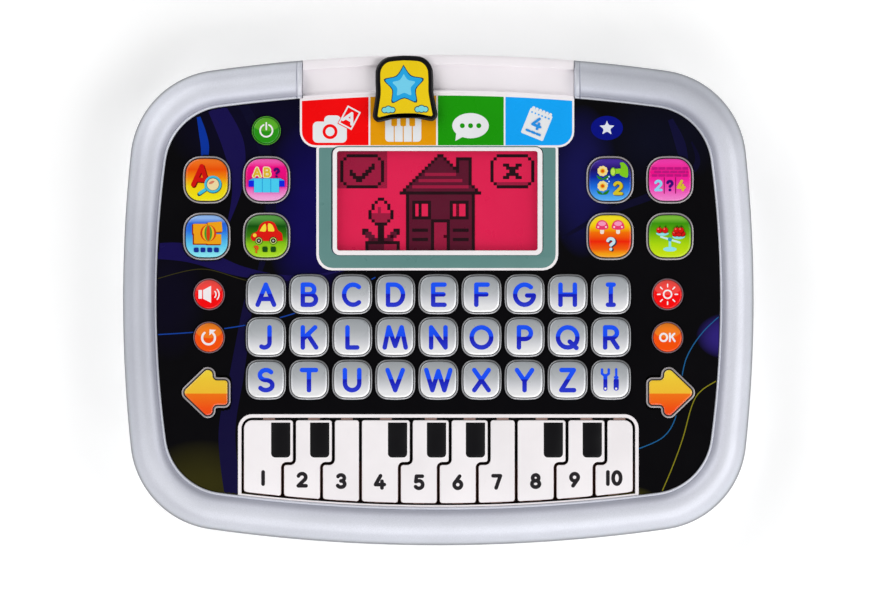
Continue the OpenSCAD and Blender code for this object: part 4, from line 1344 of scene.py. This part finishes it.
def sound_icon(art):
    art.box(-4.1, -1.7, -2.7, 1.7, 0.15, WHITE)
    art.shape([(-2.3, -1.7), (-2.3, 1.7), (0.8, 3.3), (0.8, -3.3)], WHITE)
    for r in (1.7, 2.9):
        art.line(arc((1.0, 0), r, r, -42, 42, 8), 0.5, WHITE)


def again_icon(art):
    art.line(arc((-0.2, -0.2), 2.5, 2.5, 128, 405, 20), 0.85, WHITE)
    art.shape([(0.1, 0.8), (2.7, 2.9), (0.2, 3.1)], WHITE)


def sun_icon(art):
    art.line(arc((0, 0), 1.55, 1.55, 0, 360, 24), 0.6, WHITE)
    for k in range(8):
        a = math.radians(45 * k)
        art.line([(r * math.cos(a), r * math.sin(a)) for r in (2.9, 3.9)], 0.5, WHITE)


def ok_icon(art):
    art.sign("O", 1.45, -1.55, 0, 0.75, WHITE)
    art.sign("K", 1.45, 1.75, 0, 0.75, WHITE)


def round_button(node, paint, rim, line, draw):
    x, y = centre(node)
    r = (high(node).x - low(node).x) / 2 - 0.8
    piece = Piece(node + "_cap", (x, y))
    paints = pillow_paints(rim, line, paint)
    cap(piece, PILLOW_STEPS, PILLOW_TOP, paints, lambda d: circle(x, y, r - d * 0.52, 56))
    draw(Art(piece, PILLOW_TOP - 0.02, x, y))
    flange(piece, circle(x, y, r + 0.7, 40))
    piece.build(node, [node])


def rounded_poly(corners, steps=8):
    """An outline from anticlockwise corners (x, y, radius). A negative radius marks a hollow corner."""
    points = []
    n = len(corners)
    for i, (x, y, r) in enumerate(corners):
        here = Vector((x, y))
        a = (here - Vector(corners[i - 1][:2])).normalized()
        b = (Vector(corners[(i + 1) % n][:2]) - here).normalized()
        turn = a.angle(b)
        side = 1 if r > 0 else -1
        pivot = here - a * abs(r) * math.tan(turn / 2) + Vector((-a.y, a.x)) * r
        start = math.degrees(math.atan2(-a.x * side, a.y * side))
        points += arc(pivot, abs(r), abs(r), start, start + side * math.degrees(turn), steps)
    return points


ARROW_HALF = [(-0.43, 9.9, 2.6), (3.8, 9.9, 2.9), (3.8, 5.9, -0.7), (9.6, 5.9, 2.4)]
ARROW_CORNERS = [(-10.76, 0, 3.1)] + [(x, -y, r) for x, y, r in ARROW_HALF] + ARROW_HALF[::-1]
ARROW = gradient("arrow_print", [(-10, (252, 70, 8)), (-6, (252, 84, 6)), (-0.45, (252, 122, 14)),
                                 (-0.3, (250, 196, 50)), (5, (250, 208, 54)), (10, (250, 226, 64))],
                 0.22, coat=0.4)


def arrow_button(node, mirror):
    """An arrow pointing left, or right when mirror is -1."""
    x, y = centre(node)
    tip = low(node).x if mirror > 0 else high(node).x
    piece = Piece(node + "_cap", (x, y))

    def shape(d):
        loop = shrink(rounded_poly(ARROW_CORNERS), d)
        return [(tip + mirror * (10.2 + px), y + py) for px, py in loop[::mirror]]

    paints = [SHADOW_LINE] + [RIM_PALE] * 3 + [SHADOW_LINE] * 3 + [ARROW]
    cap(piece, ARROW_STEPS, KEY_TOP - 0.3, paints, shape)
    piece.build(node, [node])


# --- piano

PIANO_LEFT = low("piano_key_1").x
PIANO_BACK = high("piano_key_1").y - 0.55
PITCH = -2 * PIANO_LEFT / 10
JOG_Y = -63.4
JOG = 4.6
SLOT = 0.9
KEY_FOOT = 1.42
LAST = 9
# Boundaries between keys, counted from the left, that run straight, and the keys without a black one.
STRAIGHT = (0, 3, 7, 10)
PLAIN = (2, 6, 9)
PIANO_STEPS = [(0, 0.85), (0.13, 0.5), (0.18, 0.22), (0.3, 0.06), (0.5, 0)]
# Key walls seen in the gaps: brown standing for the board below, going to black as painted shade further
# back.
WELL_AND_SHADE = gradient("piano_well_and_shade", [(-4.0, (124, 72, 54)), (-1.0, (20, 14, 14))], 0.5)


def low_edge(x, d):
    return -top_edge(x, d)


def jog(i):
    return 0 if i in STRAIGHT else JOG


def piano_outline(i):
    half = SLOT / 2
    left = PIANO_LEFT + i * PITCH + (0 if i == 0 else half)
    right = PIANO_LEFT + (i + 1) * PITCH - (0 if i == LAST else half)
    upper_left, upper_right = left + jog(i), right + jog(i + 1)
    r, wide = 1.1, 1.1 + SLOT
    xs = [left + (right - left) * k / 6 for k in range(7)]
    below = [(x, low_edge(x, KEY_FOOT)) for x in xs]
    (x0, y0), (x1, y1) = below[0], below[-1]
    points = [(x0, y0 + 1.0), (x0 + 0.25, y0 + 0.3), (x0 + 0.95, y0)] + below[1:-1]
    points += [(x1 - 0.95, y1), (x1 - 0.25, y1 + 0.3), (x1, y1 + 1.0)]
    if jog(i + 1):
        points += arc((right + wide, JOG_Y + half - wide), wide, wide, 180, 90, 5)
        points += arc((upper_right - r, JOG_Y + half + r), r, r, -90, 0, 5)
    corner = 3.3 if i == LAST else r
    points += arc((upper_right - corner, PIANO_BACK - corner), corner, corner, 0, 90, 6)
    corner = 3.3 if i == 0 else r
    points += arc((upper_left + corner, PIANO_BACK - corner), corner, corner, 90, 180, 6)
    if jog(i):
        points += arc((upper_left - wide, JOG_Y - half + wide), wide, wide, 0, -90, 5)
        points += arc((left + r, JOG_Y - half - r), r, r, 90, 180, 5)
    return points


def piano_key(i):
    """A white key with its number and, on most, a black key printed at its upper right."""
    node = "piano_key_%d" % (i + 1)
    piece = Piece(node + "_cap", centre(node))
    loop = piano_outline(i)
    levels = [(0, PANEL_LOW - 1.0)] + [(d, PIANO_TOP - drop) for d, drop in PIANO_STEPS]
    # The key's walls take the well's brown and its painted shade.
    piece.loft([[(x, y, z) for x, y in shrink(loop, d)] for d, z in levels], [WELL_AND_SHADE, WELL_AND_SHADE, PIANO])
    if i not in PLAIN:
        right = PIANO_LEFT + (i + 1) * PITCH - SLOT / 2 + JOG - 1.1
        back = PIANO_BACK - 1.0
        black = rounded(right - 7.5, back - 13.6, right, back, (0.15, 0.15, 1.6, 1.6))
        piece.slab([black], PIANO_TOP - 0.3, PIANO_TOP + 0.02, 0.04, BLACK, 1)
    mid = PIANO_LEFT + (i + 0.5) * PITCH
    art = Art(piece, PIANO_TOP, mid, -70.7 + 0.00036 * mid * mid)
    places = [0] if i < LAST else [-2.2, 1.3]
    for digit, x in zip(str(i + 1), places):
        art.sign(digit, 2.35, x, 0, 1.45, DIGIT)
    piece.build(node, [node])


def piano_surround():
    """White frame round the keys, the well under them, brown with painted shade over its upper part, and
    its pale webs.
    """
    piece = Piece("piano_surround", (0, -62))
    gap, wide = 0.85, 1.35

    def edge(grow, foot):
        """The keys' outline, grown, down to a distance from the face's lower edge."""
        r = 3.3 + grow
        top = PIANO_BACK + grow
        right = grow - PIANO_LEFT
        xs = [right * (k / 12 - 1) for k in range(25)]
        base = [(x, low_edge(x, foot)) for x in xs]
        corners = arc((right - r, top - r), r, r, 0, 90, 8) + arc((r - right, top - r), r, r, 90, 180, 8)
        return base + corners

    levels = [(0, PANEL_LOW - 0.05), (0, PANEL_TOP + 0.2), (0.12, PANEL_TOP + 0.35),
              (0.88, PANEL_TOP + 0.35), (1, PANEL_TOP + 0.2), (1, PANEL_LOW - 0.05)]
    rows = [[(x + (a - x) * t, y + (b - y) * t, z) for t, z in levels]
            for (x, y), (a, b) in zip(edge(gap + wide, 0.04), edge(gap, 0.75))]
    piece.loft(rows + [rows[0]], WHITE, False)
    well = high("contact_mat").z - 0.8
    floor = edge(gap + 0.1, 0.6)
    piece.plate(floor, well, SLOT_BROWN, 0.1)
    # Painted shade: black over the upper part of the well's floor.
    piece.plate([(x, max(y, -62.5)) for x, y in floor], well, SLOT_SHADE, 0.1)
    web = (206, 172, 162)
    for i in range(10):
        mid = PIANO_LEFT + (i + 0.5) * PITCH
        up = mid + (jog(i) + jog(i + 1)) / 2
        back = rounded(up - 2.3, PIANO_BACK + 0.02, up + 2.3, PIANO_BACK + gap, 0.1, 1)
        foot = [(x, low_edge(x, KEY_FOOT)) for x in (mid - 2.1, mid, mid + 2.1)]
        front = [(x, y - 0.7) for x, y in foot] + [(x, y - 0.03) for x, y in foot[::-1]]
        for loop in (back, front):
            piece.plate(loop, PANEL_TOP - 0.6, web, 0.3)
    piece.build("tablet")


# --- inner parts, floor and light


def shown_nodes():
    """Paints the CAD nodes that show as they are."""
    paints = {"main_board": BOARD, "contact_mat": RUBBER, "speaker": STEEL, "battery_cells": CELL,
              "battery_contacts": STEEL, "face_panel": FACE}
    for node, paint in paints.items():
        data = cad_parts[node].data
        data.materials.clear()
        data.materials.append(paint)
        own = data.attributes.new("local", "FLOAT_VECTOR", "POINT")
        own.data.foreach_set("vector", [c / MM for v in data.vertices for c in v.co])


def studio():
    data = bpy.data.meshes.new("floor")
    far = 9.0
    data.from_pydata([(-far, -far, 0), (far, -far, 0), (far, far, 0), (-far, far, 0)], [], [(0, 1, 2, 3)])
    floor = bpy.data.objects.new("floor", data)
    scene.collection.objects.link(floor)
    data.materials.append(plastic("floor_paper", (252, 252, 252), 0.9, 0.01, 0.0, glow=0.21))
    floor.location.z = -0.0002
    world = bpy.data.worlds.new("studio")
    world.use_nodes = True
    world.node_tree.nodes["Background"].inputs["Color"].default_value = (1, 1, 1, 1)
    world.node_tree.nodes["Background"].inputs["Strength"].default_value = 0.1
    scene.world = world
    scene.view_settings.view_transform = "Standard"
    # Place, size and power of each soft lamp, in metres and watts.
    lamps = [("left", (-1.0, -0.1, 0.8), 1.0, 3.4), ("right", (1.0, -0.2, 0.8), 1.0, 7.8),
             ("back", (-0.75, 0.85, 0.75), 1.1, 8.8), ("front", (0.2, -1.0, 0.8), 1.1, 8.2)]
    for name, at, size, power in lamps:
        lamp = bpy.data.lights.new(name, "AREA")
        lamp.shape = "SQUARE"
        lamp.size = size
        lamp.energy = power
        made = bpy.data.objects.new(name, lamp)
        scene.collection.objects.link(made)
        made.location = at
        made.rotation_euler = (-Vector(at)).to_track_quat("-Z", "Y").to_euler()


# --- everything

front_frame()
rear_case()
battery_door()
case_screws()
mode_rail()
mode_slider()
face_streaks()
mode_tiles()
badge()
screen_surround()
lcd()
for letter in LETTERS:
    letter_key("letter_key_" + letter.lower(), letter)
letter_key("tool_key", None)
for side in PICTURES:
    picture_buttons(side)
GREEN = round_paint("button_green", (40, 150, 20), (112, 196, 52))
GREEN_RIM = plastic("green_rim", (92, 182, 58), 0.2)
# Dark copies of the buttons' colours, painted as shade in their grooves.
RED_SHADE = plastic("red_shade", (104, 20, 20), 0.3)
GREEN_SHADE = plastic("green_shade", (16, 92, 12), 0.3)
RED = round_paint("button_red", (255, 8, 12), (255, 92, 84))
ORANGE = round_paint("button_orange", (255, 84, 4), (255, 150, 40))
round_button("power_button", GREEN, GREEN_RIM, GREEN_SHADE, power_icon)
round_button("volume_button", RED, RIM_PINK, RED_SHADE, sound_icon)
round_button("repeat_button", ORANGE, RIM_PINK, RED_SHADE, again_icon)
round_button("brightness_button", RED, RIM_PINK, RED_SHADE, sun_icon)
round_button("ok_button", ORANGE, RIM_PINK, RED_SHADE, ok_icon)
arrow_button("left_arrow_button", 1)
arrow_button("right_arrow_button", -1)
for key in range(10):
    piano_key(key)
piano_surround()
shown_nodes()
studio()
